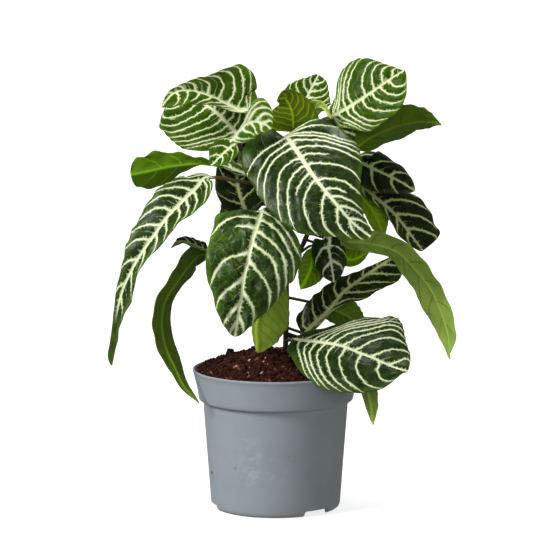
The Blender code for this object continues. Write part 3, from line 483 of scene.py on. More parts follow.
class Finish:
    """A material made of one Principled shader and what feeds it."""

    def __init__(self, name, **constants):
        self.material = bpy.data.materials.new(name)
        self.material.use_nodes = True
        self.tree = self.material.node_tree
        self.shader = self.tree.nodes["Principled BSDF"]
        for socket, value in constants.items():
            self.shader.inputs[socket.replace("_", " ")].default_value = value

    def node(self, kind, settings=None, inputs=(), out=0):
        made = self.tree.nodes.new(kind)
        for key, value in (settings or {}).items():
            setattr(made, key, value)
        pairs = inputs.items() if isinstance(inputs, dict) else enumerate(inputs)
        for key, value in pairs:
            self.feed(made.inputs[key], value)
        return Wire(self, made.outputs[out])

    def feed(self, socket, value):
        if isinstance(value, Wire):
            self.tree.links.new(value.socket, socket)
        elif socket.type == "RGBA":
            socket.default_value = (*value[:3], 1.0)
        else:
            socket.default_value = value

    def read(self, name):
        return self.node("ShaderNodeAttribute", {"attribute_name": name}, out="Fac")

    def place(self, stretch=(1, 1, 1), at=(0, 0, 0)):
        """Object coordinates in mm, stretched and moved."""
        seen = self.node("ShaderNodeTexCoord", out="Object")
        scale = tuple(1000 * s for s in stretch)
        return self.node("ShaderNodeVectorMath", {"operation": "MULTIPLY_ADD"}, [seen, scale, at])

    def vector(self, x, y, z=0.0):
        return self.node("ShaderNodeCombineXYZ", None, [x, y, z])

    def parts(self, vector):
        """The x, y and z of a vector."""
        x = self.node("ShaderNodeSeparateXYZ", None, [vector])
        return [x] + [Wire(self, x.socket.node.outputs[k]) for k in (1, 2)]

    def noise(self, vector, scale, detail=2.0, rough=0.5):
        return self.node("ShaderNodeTexNoise", None,
                         {"Vector": vector, "Scale": scale, "Detail": detail, "Roughness": rough})

    def cells(self, vector, scale, feature="F1"):
        return self.node("ShaderNodeTexVoronoi", {"feature": feature},
                         {"Vector": vector, "Scale": scale}, out="Distance")

    def thorns(self, where, broad=0.30):
        """Height of thorns along a line: most are low and a few are tall."""
        found = self.node("ShaderNodeTexVoronoi", {"voronoi_dimensions": "1D"},
                          {"W": where, "Scale": 1.0}, out="Distance")
        chance = Wire(self, found.socket.node.outputs["Color"])
        return (1 - found / broad).max(0.0) * (0.3 + 2.2 * chance ** 2)

    def blend(self, a, b, share):
        made = self.node("ShaderNodeMix", {"data_type": "RGBA", "clamp_factor": True}, out=2)
        mixer = made.socket.node
        for index, value in ((0, share), (6, a), (7, b)):
            self.feed(mixer.inputs[index], value)
        return made

    def put(self, bump=None, **wires):
        """Feed the shader. bump: a height, and the metres that one unit of it stands for."""
        if bump:
            height, distance = bump
            wires["Normal"] = self.node("ShaderNodeBump", None,
                                        {"Strength": 1.0, "Distance": distance, "Height": height},
                                        out="Normal")
        for name, value in wires.items():
            self.feed(self.shader.inputs[name.replace("_", " ")], value)
        return self.material


# Finishes. fresh: share of the fresh greens. blade and vein: brightness. broad: width of the
# veins. shine: specular level. painted_sheen: colour of the painted sheen, highlights painted on
# the blade between the veins.
TONES = {
    "dark": dict(fresh=0.0, blade=1.0, vein=(1, 1, 1), broad=1.0, shine=0.12,
                 stalk=(0.085, 0.060, 0.022), painted_sheen=(0.150, 0.200, 0.140),
                 under=(0.105, 0.185, 0.028)),
    # painted shade: deep is the dark finish made darker throughout, its blade, veins, stalk,
    # underside and sheen alike
    "deep": dict(fresh=0.0, blade=0.42, vein=(0.68, 0.72, 0.46), broad=0.8, shine=0.14,
                 stalk=(0.022, 0.016, 0.010), painted_sheen=(0.055, 0.072, 0.055),
                 under=(0.05, 0.09, 0.02)),
    "bright": dict(fresh=1.0, blade=0.85, vein=(1, 1, 0.9), broad=0.9, shine=0.04,
                   stalk=(0.130, 0.110, 0.030), painted_sheen=(0.110, 0.220, 0.012),
                   under=(0.13, 0.24, 0.03)),
    "young": dict(fresh=1.0, blade=1.3, vein=(1, 1, 1), broad=1.1, shine=0.05,
                  stalk=(0.160, 0.150, 0.040), painted_sheen=(0.170, 0.310, 0.020),
                  under=(0.16, 0.26, 0.03)),
}
# Undersides with a colour of their own, one brightened as painted light, and how bright the
# side veins and the rib are beside it
UNDERS = {
    # painted light: this face is brightened past its own green to stand in for the light on it
    "leaf_right_arching": ((0.365, 0.545, 0.085), 0.48, 1.25),
    "leaf_left_under": ((0.110, 0.190, 0.013), 1.15, 1.7),
    "leaf_right_under": ((0.120, 0.225, 0.010), 0.85, 1.5),
    "leaf_low_hanging": ((0.200, 0.295, 0.024), 0.7, 1.5),
    "leaf_left_upper": ((0.120, 0.255, 0.004), 2.0, 1.8),
    "leaf_lime_hanging": ((0.155, 0.310, 0.003), 1.6, 2.6),
    "leaf_lime_right": ((0.200, 0.380, 0.003), 1.4, 2.0),
    "leaf_olive_hanging": ((0.300, 0.500, 0.012), 1.3, 1.5),
    "leaf_low_under": ((0.175, 0.320, 0.030), 1.3, 1.6),
    "leaf_rim_tip": ((0.340, 0.530, 0.070), 1.3, 1.5),
    "leaf_young_olive": ((0.125, 0.185, 0.004), 2.4, 2.8),
    "leaf_young_pale": ((0.43, 0.56, 0.11), 1.5, 1.7),
}
RIB_WIDTHS = {"leaf_low_hanging": 1.3, "leaf_right_arching": 0.8, "leaf_young_olive": 0.7}


def shaded(colour, by, lift=0.0):
    return [min(1.0, c * by + lift) for c in colour]


def mixed(a, b, share):
    return [p * (1 - share) + q * share for p, q in zip(a, b)]


def leaf_marks(look):
    """What leaf_shape wrote on the points of a leaf."""
    return SimpleNamespace(**{key: look.read(key) for key in (
        "phase", "pitch", "reach", "trace", "margin", "strong", "along")})


def side_veins(look, spec, marks, broad):
    """The side veins: how far off the nearest one is and how wide it is, in mm, and masks of
    the cores and of the thorny borders. broad is the half width that the veins start from."""
    phase, trace, scale = marks.phase, marks.trace, spec["ribscale"]
    nearest, gap = (phase + 0.5).math("FLOOR"), phase.math("FLOOR")
    offset = (phase - nearest) * marks.pitch
    away, hand = abs(offset), offset.above(-0.01, 0.01)
    # thorns stand out from both edges of a vein, few of them long
    thorn = look.thorns(trace * 0.44 + nearest * 13.7 + hand * 7.3 + spec["seed"])
    taper = marks.margin.above(-1.0, 7.0 * scale + 1)
    flare = (marks.reach * -0.30).math("EXPONENT")
    wander = look.noise(look.vector(trace * 0.35, nearest * 5.0), 1.0)
    width = (broad * (0.10 + 0.55 * taper + 0.95 * flare)) * (0.6 + 0.8 * wander) * marks.strong
    started = marks.along.above(0.0, 0.03) * marks.strong.above(0.1, 0.4)
    core = away.below(width * 0.45, width * 0.95) * started
    spiky = width * 1.15 + thorn * (0.35 + 0.55 * taper)
    border = away.below(spiky - 0.1, spiky + 0.15) * started
    # short veins in about half of the gaps between the long ones
    between = abs((gap + 0.5 - phase) * marks.pitch)
    short = between.below(0.10, 0.45) * trace.below(4.0, 9.0 * scale + 2)
    chosen = (gap * 7.31).math("SINE").above(0.0, 0.1) * marks.pitch.above(5.0, 8.0)
    return away, width, core, border.max(short * chosen * 0.8)


def rib_band(look, spec, tones, marks):
    """Masks of the pale band along the rib: its core, and its ragged border with thorns."""
    right = marks.phase.above(HAND_STEP / 2, HAND_STEP / 2 + 1)
    thorn = look.thorns(marks.along * (spec["length"] * 0.34) + right * 31.7)
    ragged = look.noise(look.vector(marks.along * (spec["length"] * 0.5), right * 9.0), 1.0)
    width = tones.rib_width / MM * spec["ribscale"] * (1.05 - 0.62 * marks.along)
    width = width * (0.55 + 0.85 * ragged)
    edge = width + thorn * 1.5
    return marks.reach.below(width * 0.6, width * 0.95), marks.reach.below(edge - 0.05, edge + 0.2)


def leaf_upper_finish(name, spec, tones):
    tone, scale, puff = TONES[spec["tone"]], spec["ribscale"], spec["puff"]
    look = Finish(f"{name}_upper", Specular_IOR_Level=tone["shine"])
    spot = look.place(at=(spec["seed"] * 3.1, 0, 0))
    marks = leaf_marks(look)
    broad = tones.vein_width / MM * tone["broad"] * spec["broad"] * scale
    away, width, core, border = side_veins(look, spec, marks, broad)
    rib_core, rib = rib_band(look, spec, tones, marks)
    veined = marks.along.below(spec["plain"] - 0.04, spec["plain"] + 0.08)
    rim, pale = border.max(rib) * veined, core.max(rib_core) * veined
    # fine cross veins between the side veins
    ladder = look.thorns(marks.trace * 0.5 + marks.phase.math("FLOOR") * 9.1, 0.16)
    light_by = tone["blade"] * spec["shade"]
    # painted light and shade: deep is the blade's green in painted shade, light the same green in
    # painted light
    deep = shaded(mixed(tones.dark, tones.fresh, tone["fresh"]), light_by)
    light = shaded(mixed(tones.dark_painted_light, tones.fresh_painted_light, tone["fresh"]), light_by)
    cream = [min(1.0, c * v) for c, v in zip(tones.vein, tone["vein"])]
    patch = look.noise(spot, 0.16, 4.0, 0.65).above(0.40, 0.66)
    # painted light beside the veins and towards the margin; the random patches and the fine cross
    # veins mixed in with it are the blade's own paler green
    painted_halo = away.below(width, width + 1.6)
    edge = marks.margin.below(0.0, 7.0 * scale ** 2)
    lit = patch * 0.26 + painted_halo * 0.22 + edge * 0.48 + ladder * (0.12 + 0.11 * puff)
    blade = look.blend(deep, light, lit)
    # painted sheen: highlights painted on the blade between the veins
    middle = (away / marks.pitch).above(0.16, 0.42) * marks.pitch.above(2.0, 5.0)
    streak = look.vector(marks.trace * 0.16, marks.phase * 0.8, spec["seed"])
    painted_sheen = look.noise(streak, 1.0, 3.0).above(0.53, 0.68)
    blade = look.blend(blade, tone["painted_sheen"], painted_sheen * middle * (0.05 + 0.21 * puff))
    colour = look.blend(blade, mixed(light, cream, 0.45), rim * 0.92)
    colour = look.blend(colour, cream, pale)
    colour = look.blend(colour, tone["stalk"], marks.along.below(-0.03, 0.02))
    fine = look.noise(spot, 0.9, 3.0)
    return look.put(Base_Color=colour, Roughness=0.20 + 0.08 * fine + 0.15 * pale,
                    bump=(ladder * -0.7 + fine * 0.5 + rim * -0.8, 0.00008))


def leaf_under_finish(name, spec):
    tone = TONES[spec["tone"]]
    base, vein_shade, rib_shade = UNDERS.get(name, (tone["under"], 1.5, 1.5))
    look = Finish(f"{name}_under", Specular_IOR_Level=0.12)
    spot = look.place(at=(spec["seed"] * 3.1, 0, 0))
    marks = leaf_marks(look)
    away = abs(marks.phase - (marks.phase + 0.5).math("FLOOR")) * marks.pitch
    side = away.below(0.25, 0.75) * marks.margin.above(0, 3) * marks.along.above(0, 0.05)
    stout = RIB_WIDTHS.get(name, 1.0)
    rib = marks.reach.below(0.9 * stout, 1.5 * stout)
    patch = look.noise(spot, 0.07, 3.0)
    web = look.cells(spot, 0.42, "DISTANCE_TO_EDGE").below(0.0, 0.07)
    blade = look.blend(base, shaded(base, 0.62), patch.above(0.40, 0.70) * 0.6)
    blade = look.blend(blade, shaded(base, 1.4, 0.01), web * 0.16)
    colour = look.blend(blade, shaded(base, vein_shade), side * 0.8)
    colour = look.blend(colour, shaded(base, rib_shade), rib * 0.9)
    colour = look.blend(colour, tone["stalk"], marks.along.below(-0.03, 0.02))
    height = side.max(rib) + web * 0.25 + look.noise(spot, 0.7) * 0.4
    return look.put(Base_Color=colour, Roughness=0.4 + 0.15 * patch, bump=(height, 0.00012))


def pot_finish(colour):
    look = Finish("pot_plastic", Roughness=0.5, Specular_IOR_Level=0.42)
    spot = look.place()
    x, y, z = look.parts(spot)
    cloud = look.noise(spot, 0.035, 4.0)
    fine = look.noise(spot, 1.1, 3.0)
    # pale scuffs on the front, low on the wall
    rubbed = look.place(stretch=(0.12, 0.12, 0.16), at=(7.0, 0, 0))
    off_x, off_z = (abs(c - mid) / SCUFFS_REACH for c, mid in zip((x, z), SCUFFS_AT))
    near = off_x.below(0.2, 1.0) * off_z.below(0.2, 1.0)
    worn = look.noise(rubbed, 0.9, 6.0, 0.7).above(0.46, 0.66) * near
    dust = look.noise(look.place(at=(31, 5, 2)), 0.5, 4.0, 0.6).above(0.66, 0.80)
    # pale: the colour of the scuffs, and of the painted light under the collar
    pale, deep = shaded(colour, 1.35, 0.03), shaded(colour, 0.86)
    tint = look.blend(colour, deep, cloud.above(0.40, 0.75) * 0.6)
    tint = look.blend(tint, pale, worn * 0.6)
    tint = look.blend(tint, deep, look.noise(spot, 2.2).above(0.35, 0.7) * 0.35)
    tint = look.blend(tint, (0.12, 0.07, 0.05), dust * z.above(70, 100) * 0.25)
    speck = look.cells(spot, 0.05).below(0.012, 0.02)
    tint = look.blend(tint, (0.10, 0.04, 0.02), speck * 0.7)
    for mark_x, mark_z, broad in POT_MARKS:
        off = ((x - mark_x) ** 2 + ((z - mark_z) * 0.7) ** 2) ** 0.5 + fine * 1.5
        speck = off.below(broad, broad + 0.9) * y.below(-5, 0)
        tint = look.blend(tint, (0.09, 0.035, 0.02), speck)
    # painted light: the wall just under the collar's ledge, and the ledge, are painted paler to
    # lift the shade there
    step = (POT_HEIGHT - COLLAR_HEIGHT) / MM
    ledge = z.above(step - 6.5, step - 0.1) * z.below(step + 0.2, step + 1.1)
    tint = look.blend(tint, pale, ledge * 0.22)
    return look.put(Base_Color=tint, Roughness=0.44 + 0.14 * cloud + 0.10 * worn,
                    bump=(fine * 0.35 + worn * -0.5, 0.00012))


def peat_finish(name, colour, scale=1.0):
    look = Finish(name, Specular_IOR_Level=0.2, Roughness=0.9)
    spot = look.place()
    coarse = look.noise(spot, 0.30, 5.0, 0.65)
    fine = look.noise(spot, 1.6, 4.0, 0.7)
    warm = [c * by for c, by in zip(colour, (3.4, 3.0, 2.6))]
    tint = look.blend(shaded(colour, 0.35), colour, coarse.above(0.30, 0.55))
    tint = look.blend(tint, warm, fine.above(0.56, 0.74) * 0.8)
    tint = look.blend(tint, (0.33, 0.17, 0.11), look.cells(spot, 0.55).below(0.06, 0.12) * 0.6)
    return look.put(Base_Color=tint, bump=(coarse + fine * 0.6, 0.0006 * scale))


def chip_finish(name, colour):
    look = Finish(name, Roughness=0.8)
    grain = look.noise(look.place(stretch=(1, 1, 0.3)), 1.2, 4.0)
    tint = look.blend(colour, shaded(colour, 0.5), grain.above(0.45, 0.7))
    return look.put(Base_Color=tint, bump=(look.noise(look.place(), 1.5, 3.0), 0.0003))


def stem_finish():
    look = Finish("stem_bark", Roughness=0.6)
    spot = look.place()
    z = look.parts(spot)[2]
    streak = look.noise(look.place(stretch=(1.0, 1.0, 0.18)), 1.1, 4.0)
    bark = look.blend((0.020, 0.015, 0.009), (0.075, 0.050, 0.026), streak.above(0.42, 0.72))
    green = look.blend((0.045, 0.062, 0.012), (0.10, 0.085, 0.03), streak.above(0.45, 0.75))
    tint = look.blend(bark, green, (z + streak * 20).above(GREEN_FROM, GREEN_TO))
    lenticel = look.cells(spot, 0.45).below(0.10, 0.16)
    tint = look.blend(tint, (0.16, 0.12, 0.08), lenticel * 0.4)
    return look.put(Base_Color=tint, bump=(streak + lenticel * 0.6, 0.0004))


# Steps shared by the pieces
def fresh():
    """Leave edit mode and select nothing."""
    if bpy.context.object and bpy.context.object.mode != "OBJECT":
        bpy.ops.object.mode_set(mode="OBJECT")
    bpy.ops.object.select_all(action="DESELECT")


def only(item):
    """Select one object, alone and active."""
    fresh()
    item.select_set(True)
    bpy.context.view_layer.objects.active = item


def named(name):
    made = bpy.context.object
    made.name = name
    made.data.name = name
    return made


def modify(item, kind, **settings):
    step = item.modifiers.new(kind.lower(), kind)
    for key, value in settings.items():
        setattr(step, key, value)


def apply_all(item):
    only(item)
    for modifier in list(item.modifiers):
        bpy.ops.object.modifier_apply(modifier=modifier.name)


def settle(item):
    """Turn an object's place into its mesh, so that it sits at the origin."""
    only(item)
    bpy.ops.object.transform_apply(location=True, rotation=True, scale=True)


def face_outwards(item):
    only(item)
    bpy.ops.object.mode_set(mode="EDIT")
    bpy.ops.mesh.select_all(action="SELECT")
    bpy.ops.mesh.normals_make_consistent(inside=False)
    bpy.ops.object.mode_set(mode="OBJECT")


def coat(item, finish):
    item.data.materials.clear()
    item.data.materials.append(finish)


def bow(a, b, c, d, t):
    """Point of the smooth curve through a, b, c and d, at share t between b and c."""
    return 0.5 * (2 * b + (c - a) * t + (2 * a - 5 * b + 4 * c - d) * t * t
                  + (3 * b - a - 3 * c + d) * t ** 3)


def spline(points, count, between=24):
    """Smooth line through points, as count points at even steps along it."""
    ends = [points[0] * 2 - points[1]] + points + [points[-1] * 2 - points[-2]]
    fine = [bow(*ends[i - 1:i + 3], k / between)
            for i in range(1, len(ends) - 2) for k in range(between)]
    fine.append(points[-1])
    reach = [0.0]
    for p, q in zip(fine, fine[1:]):
        reach.append(reach[-1] + (q - p).length)
    made = []
    at = 0
    for i in range(count):
        want = reach[-1] * i / (count - 1)
        while at < len(reach) - 2 and reach[at + 1] < want:
            at += 1
        span = reach[at + 1] - reach[at]
        made.append(fine[at].lerp(fine[at + 1], (want - reach[at]) / span if span else 0.0))
    return made


def shoot_line(points, each=3):
    return spline([Vector(p) for p in points], each * (len(points) - 1) + 1)


# Shapes of the leaves
SHOOT_LINES = [shoot_line(points) for points in SHOOTS.values()]


def stem_gap(point):
    """Distance in mm from a point to the bark of the nearest shoot, below 0 inside it."""
    best = math.inf
    for line in SHOOT_LINES:
        for a, b in zip(line, line[1:]):
            p, q = a.xyz, b.xyz
            t = max(0.0, min(1.0, (point - p).dot(q - p) / (q - p).length_squared))
            best = min(best, (point - p.lerp(q, t)).length - (a[3] + (b[3] - a[3]) * t))
    return best


def half_width(u, half, peak, point):
    """Half width of a blade in mm at share u of its length."""
    if u <= 0 or u >= 1:
        return 0.0
    if isinstance(half, (list, tuple)):
        marks = [-half[0], 0.0, *half, 0.0, -half[-1]]
        where = math.acos(1 - 2 * u) / math.pi * (len(half) + 1)
        i = min(int(where), len(half))
        return max(0.0, bow(*marks[i:i + 4], where - i))
    a = peak * point
    return half * (u / peak) ** a * ((1 - u) / (1 - peak)) ** (point - a)


def frame_at(spec, fine, base, where):
    """Place on the rib, share of the blade's length, and the ways along, up and across."""
    ups = [Vector(v).normalized() for v in spec["up"]]
    low = min(int(where), RIB_STEPS - 1)
    place = fine[low].lerp(fine[low + 1], where - low)
    back, ahead = fine[max(low - 3, 0)], fine[min(low + 4, RIB_STEPS)]
    tangent = (ahead - back).normalized()
    u = (where - base) / (RIB_STEPS - base)
    share = max(u, 0.0) * (len(ups) - 1)
    k = min(int(share), len(ups) - 2)
    up = ups[k].lerp(ups[k + 1], share - k)
    up = (up - tangent * up.dot(tangent)).normalized()
    return place, u, tangent, up, tangent.cross(up)


def leaf_rows(spec, stations):
    """Frames of the rows of a leaf from the stem to its tip, closer together at both ends of
    the blade, and the length of the blade in mm."""
    fine = spline([Vector(p) for p in spec["rib"]], RIB_STEPS + 1)
    foot = Vector(spec["rib"][1])
    base = min(range(RIB_STEPS + 1), key=lambda i: (fine[i] - foot).length)
    start = 0
    while start < base - 6 and stem_gap(fine[start]) < -0.4:
        start += 1
    length = sum((fine[i + 1] - fine[i]).length for i in range(base, RIB_STEPS))
    stalk_rows = max(6, stations // 8)
    index = [start + (base - start) * i / stalk_rows for i in range(stalk_rows)]
    last = stations - stalk_rows - 1
    index += [base + (RIB_STEPS - base) * (1 - math.cos(math.pi * i / last)) / 2 * 0.55
              + (RIB_STEPS - base) * i / last * 0.45 for i in range(last + 1)]
    return [frame_at(spec, fine, base, where) for where in index], length


def vein_field(spec, run, reach, size, length, widest, narrow, right):
    """For each point its place between the side veins (whole numbers lie on a vein), where the
    nearest vein leaves the rib, and how strong it still is there."""
    phase = np.zeros_like(run)
    origin = np.zeros_like(run)
    strong = np.ones_like(run)
    seed = spec["seed"]
    for hand in (0, 1):
        on = right if hand else ~right
        lean, tip_lean, bend, power = spec["sweep"][hand]
        fans, spread = spec["basal"][hand]
        wobble = (0.5 * np.sin(reach * 0.33 + seed + hand) + 0.45 * np.sin(run * 0.21 + seed * 2)
                  + 0.3 * np.sin(reach * 0.9 + run * 0.3 + seed)) * np.minimum(1, reach / 5)
        free = run - lean * reach - bend * widest[hand] * narrow[hand] * size ** power + wobble
        free = free / (1 + (tip_lean - lean) * reach / length)
        marks = np.array(spec["veins"][hand]) * length
        last = len(marks) - 1
        inside = np.interp(free, marks, np.arange(last + 1))
        beyond = np.maximum(free - marks[-1], 0) / (marks[-1] - marks[-2])
        fan = np.maximum(marks[0] - free, 0) / (reach * spread * (2 - size) + 1.0)
        fan = np.where(fan < fans, fan, fans + 0.49 * (1 - np.exp(-(fan - fans) / 0.7)))
        own = inside + 0.49 * (1 - np.exp(-beyond * 0.7)) - fan
        phase = np.where(on, own + HAND_STEP * hand, phase)
        nearest = np.clip(np.round(own), 0, last).astype(int)
        origin = np.where(on, marks[nearest], origin)
        short = np.isin(nearest, spec["faint"][hand]) * np.clip((size - 0.35) / 0.15, 0, 1)
        strong = np.where(on, 1 - short, strong)
    return phase, origin, strong


def spacing(phase, run, across):
    """Distance in mm over which the phase changes by one, and the way the vein runs there, as
    its share outward and its share forward."""
    run_i, run_j = np.gradient(run)
    across_i, across_j = np.gradient(across)
    phase_i, phase_j = np.gradient(phase)
    area = run_i * across_j - run_j * across_i
    area = np.where(np.abs(area) < 1e-4, 1e-4, area)
    d_run = (phase_i * across_j - phase_j * across_i) / area
    d_across = (phase_j * run_i - phase_i * run_j) / area
    steep = np.maximum(np.hypot(d_run, d_across), 1e-3)
    return np.array([np.clip(1 / steep, 0.3, 40), d_run / steep, -d_across / steep])


def leaf_shape(spec, stations, columns, relief):
    """Both faces of a leaf as grids of points in mm, with what its finish reads, and the length
    of its blade."""
    frames, length = leaf_rows(spec, stations)
    us = np.array([frame[1] for frame in frames])
    uu = np.clip(us, 0, 1)[:, None]
    tau = np.linspace(-1, 1, columns)
    tau = np.sign(tau) * np.abs(tau) ** 1.15
    size = np.abs(tau)
    right = np.broadcast_to(tau > 0, (stations, columns))

    def by_half(pair):
        return np.where(right, pair[1], pair[0])

    # the blade grows out of the round stalk over a short stretch
    blend = np.clip((us + 0.02) / 0.10, 0, 1)[:, None]
    blend = blend * blend * (3 - 2 * blend)
    stub = spec["stalk"] * (1 - uu) ** 0.5 * 0.9

    # outline
    outlines = [[half_width(u, half, spec["peak"], spec["point"]) for u in us]
                for half in spec["half"]]
    widest = [max(half_width(k / 40, half, spec["peak"], spec["point"]) for k in range(41))
              for half in spec["half"]]
    halves = [np.maximum(np.maximum(np.array(line)[:, None], stub), 0.35) for line in outlines]
    broadest = np.maximum(*halves)
    width = by_half(halves)
    reach = width * size
    back = by_half(spec["lobe"]) * tau ** 2 * np.maximum(0.0, 1 - uu * 1.6) ** 2 * blend
    run = us[:, None] * length - back

    # veins
    narrow = [(np.maximum.accumulate(h[::-1])[::-1] / w) ** 0.8 for h, w in zip(halves, widest)]
    phase, origin, strong = vein_field(spec, run, reach, size, length, widest, narrow, right)
    half_phase = phase - np.where(right, HAND_STEP, 0)
    middle = columns // 2
    pitch, outward, forward = np.concatenate(
        [spacing(half_phase[:, part], run[:, part], reach[:, part])
         for part in (slice(None, middle), slice(middle, None))], 2)
    trace = outward * reach + forward * (run - origin)

    # fold and curl
    steps = (np.arange(10) + 0.5) / 10
    angle = np.radians(by_half(spec["fold"])[:, :, None]
                       + by_half(spec["curl"])[:, :, None] * size[None, :, None] * steps)
    x = np.cos(angle).mean(2) * reach
    z = np.sin(angle).mean(2) * reach

    # waves of the margin
    height, waves, turn = spec["wave"]
    extra = np.where(right, 2.1, 0.0)
    seed = spec["seed"]
    ruffle = np.minimum(1.0, width / 12) * size ** 2
    z = z + height * np.sin(math.tau * (waves * uu + turn) + extra) * ruffle
    ripple = np.sin(math.tau * (waves * 2.7 * uu + turn * 3) + extra * 1.7)
    z = z + 0.35 * height * ripple * ruffle * size ** 2

    # the blade puffs up between the veins, sinks at the rib and swings at the margin
    swell = np.abs(np.sin(math.pi * half_phase)) ** 0.8
    near_rib = 1 - np.exp(-(reach / 2.5) ** 2)
    pucker = 1 + 0.40 * np.sin(trace * 0.55 + 3 * np.floor(half_phase) + seed)
    room = np.minimum(1.0, broadest / 9) * np.minimum(1.0, pitch / 6)
    puff = spec["puff"] * relief * swell * near_rib * (1 - size ** 6) * pucker * blend * room
    groove = 0.5 * np.exp(-(reach / 1.8) ** 2) * blend * np.minimum(1.0, broadest / 6)
    z = z + puff - 0.5 * spec["puff"] - groove
    swing = np.sin(math.tau * half_phase + seed) * size ** 4 * np.minimum(1.0, width / 10)
    z = z + spec["scallop"] * 0.8 * swing
    x = x + spec["scallop"] * swing

    # both faces, with the rib and the veins standing out below
    stalk = spec["stalk"]
    rib = stalk * (1 - 0.75 * uu) * np.exp(-(reach / stalk) ** 2)
    off_vein = (half_phase - np.round(half_phase)) * pitch
    ridge = 0.22 * np.exp(-(off_vein / 0.5) ** 2) * near_rib * blend
    round_x = stalk * np.sin(tau * math.pi / 2)
    round_z = np.maximum(stalk * np.cos(tau * math.pi / 2), BLADE_HALF)
    aside = np.sign(tau) * x * blend + round_x * (1 - blend)
    high = (z + BLADE_HALF) * blend + round_z * (1 - blend)
    deep = z - BLADE_HALF - np.maximum(0, rib - BLADE_HALF) - ridge
    deep = deep * blend - round_z * (1 - blend)
    place, tangent, up, side = (np.array([frame[k] for frame in frames])[:, None]
                                for k in (0, 2, 3, 4))
    line = place + side * aside[:, :, None] - tangent * back[:, :, None]
    marks = dict(phase=phase, pitch=pitch, reach=reach, trace=trace, margin=width - reach,
                 strong=strong, along=us[:, None] + 0 * reach)
    return line + up * high[:, :, None], line + up * deep[:, :, None], marks, length


def leaf_sheet(name, spec, relief, stations, columns):
    """A grid laid out as the blade, given its thickness and then its two faces."""
    top, low, marks, spec["length"] = leaf_shape(spec, stations, columns, relief)
    spec["ribscale"] = min(1.0, 0.45 + spec["length"] / 160)
    fresh()
    bpy.ops.mesh.primitive_grid_add(x_subdivisions=columns - 1, y_subdivisions=stations - 1,
                                    size=2)
    made = named(name)
    total = stations * columns
    if len(made.data.vertices) != total:
        raise RuntimeError(f"{name}: the grid has {len(made.data.vertices)} points")
    flat = np.empty(total * 3)
    made.data.vertices.foreach_get("co", flat)
    flat = flat.reshape(-1, 3)
    column = np.round((flat[:, 0] + 1) / 2 * (columns - 1)).astype(int)
    row = np.round((flat[:, 1] + 1) / 2 * (stations - 1)).astype(int)
    for face in ("upper", "under"):
        made.data.materials.append(bpy.data.materials.new(f"{face}_stand_in"))
    modify(made, "SOLIDIFY", thickness=0.01, offset=-1, material_offset=1,
           material_offset_rim=1)
    apply_all(made)
    mesh = made.data
    if len(mesh.vertices) != 2 * total:
        raise RuntimeError(f"{name}: the wall did not double the grid")
    both = np.concatenate([top[row, column], low[row, column]]) * MM
    mesh.vertices.foreach_set("co", both.ravel())
    for key, values in marks.items():
        attribute = mesh.attributes.new(key, "FLOAT", "POINT")
        attribute.data.foreach_set("value", np.tile(values[row, column], 2))
    mesh.update()
    face_outwards(made)
    bpy.ops.object.shade_smooth()
    return made


class ZEBRA_OT_leaves(bpy.types.Operator):
    """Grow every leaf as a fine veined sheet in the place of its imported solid"""
    bl_idname = "zebra.leaves"
    bl_label = "Leaves"

    def execute(self, context):
        tones = context.scene.zebra_leaf
        for name, spec in LEAVES.items():
            spots = [Vector(p) for p in spec["rib"]]
            length = sum((q - p).length for p, q in zip(spots, spots[1:]))
            wide = max(np.max(half) for half in spec["half"])
            stations = int(np.clip(int(length * ROWS_PER_MM), *LEAF_ROWS))
            columns = int(np.clip(int(wide * COLUMNS_PER_MM) | 1, *LEAF_COLUMNS))
            made = leaf_sheet(f"{name}_blade", spec, tones.relief, stations, columns)
            made.data.materials[0] = leaf_upper_finish(name, spec, tones)
            made.data.materials[1] = leaf_under_finish(name, spec)
            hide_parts(name)
            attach(made, BODY)
        return {"FINISHED"}


class ZEBRA_OT_stem(bpy.types.Operator):
    """Build the stalk and its shoots as one body with swollen joints"""
    bl_idname = "zebra.stem"
    bl_label = "Stem"

    def execute(self, context):
        tubes = [self.tube(name, points) for name, points in SHOOTS.items()]
        only(tubes[0])
        for tube in tubes:
            tube.select_set(True)
        bpy.ops.object.join()
        stem = named("stem_wood")
        modify(stem, "REMESH", mode="VOXEL", voxel_size=0.0004)
        modify(stem, "SMOOTH", factor=0.5, iterations=4)
        apply_all(stem)
        bpy.ops.object.shade_smooth()
        coat(stem, stem_finish())
        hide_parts("stem")
        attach(stem, BODY)
        return {"FINISHED"}

    def tube(self, name, points, each=10):
        """A shoot with a swelling half way between its points, less so on the woody stalk."""
        fresh()
        bpy.ops.curve.primitive_nurbs_path_add()
        made = named(f"shoot_{name}")
        curve = made.data
        curve.splines.clear()
        line = curve.splines.new("POLY")
        smooth = shoot_line(points, each)
        line.points.add(len(smooth) - 1)
        stout = 0.22 * (0.4 if name == "main" else 1)
        for k, (point, spot) in enumerate(zip(line.points, smooth)):
            point.co = (*(spot.xyz * MM), 1)
            point.radius = spot[3] * (1 + stout * math.exp(-((k % each - each / 2) / 1.3) ** 2))
        curve.bevel_depth = MM
        curve.bevel_resolution = 5
        curve.use_fill_caps = True
        only(made)
        bpy.ops.object.convert(target="MESH")
        return bpy.context.object


def soil_height(x, y):
    far = math.hypot(x - CROWN_AT[0], y - CROWN_AT[1]) / CROWN_REACH
    rise = max(0.0, 1 - far ** 1.7)
    level = min(1.0, max(0.0, (LEVEL_FROM - math.hypot(x, y)) / LEVEL_FADE))
    lumps = sum(high * noise.noise(Vector((x, y, cut)) * many) for high, cut, many in LUMPS)
    return SOIL_EDGE + (SOIL_CROWN - SOIL_EDGE) * rise + lumps * level


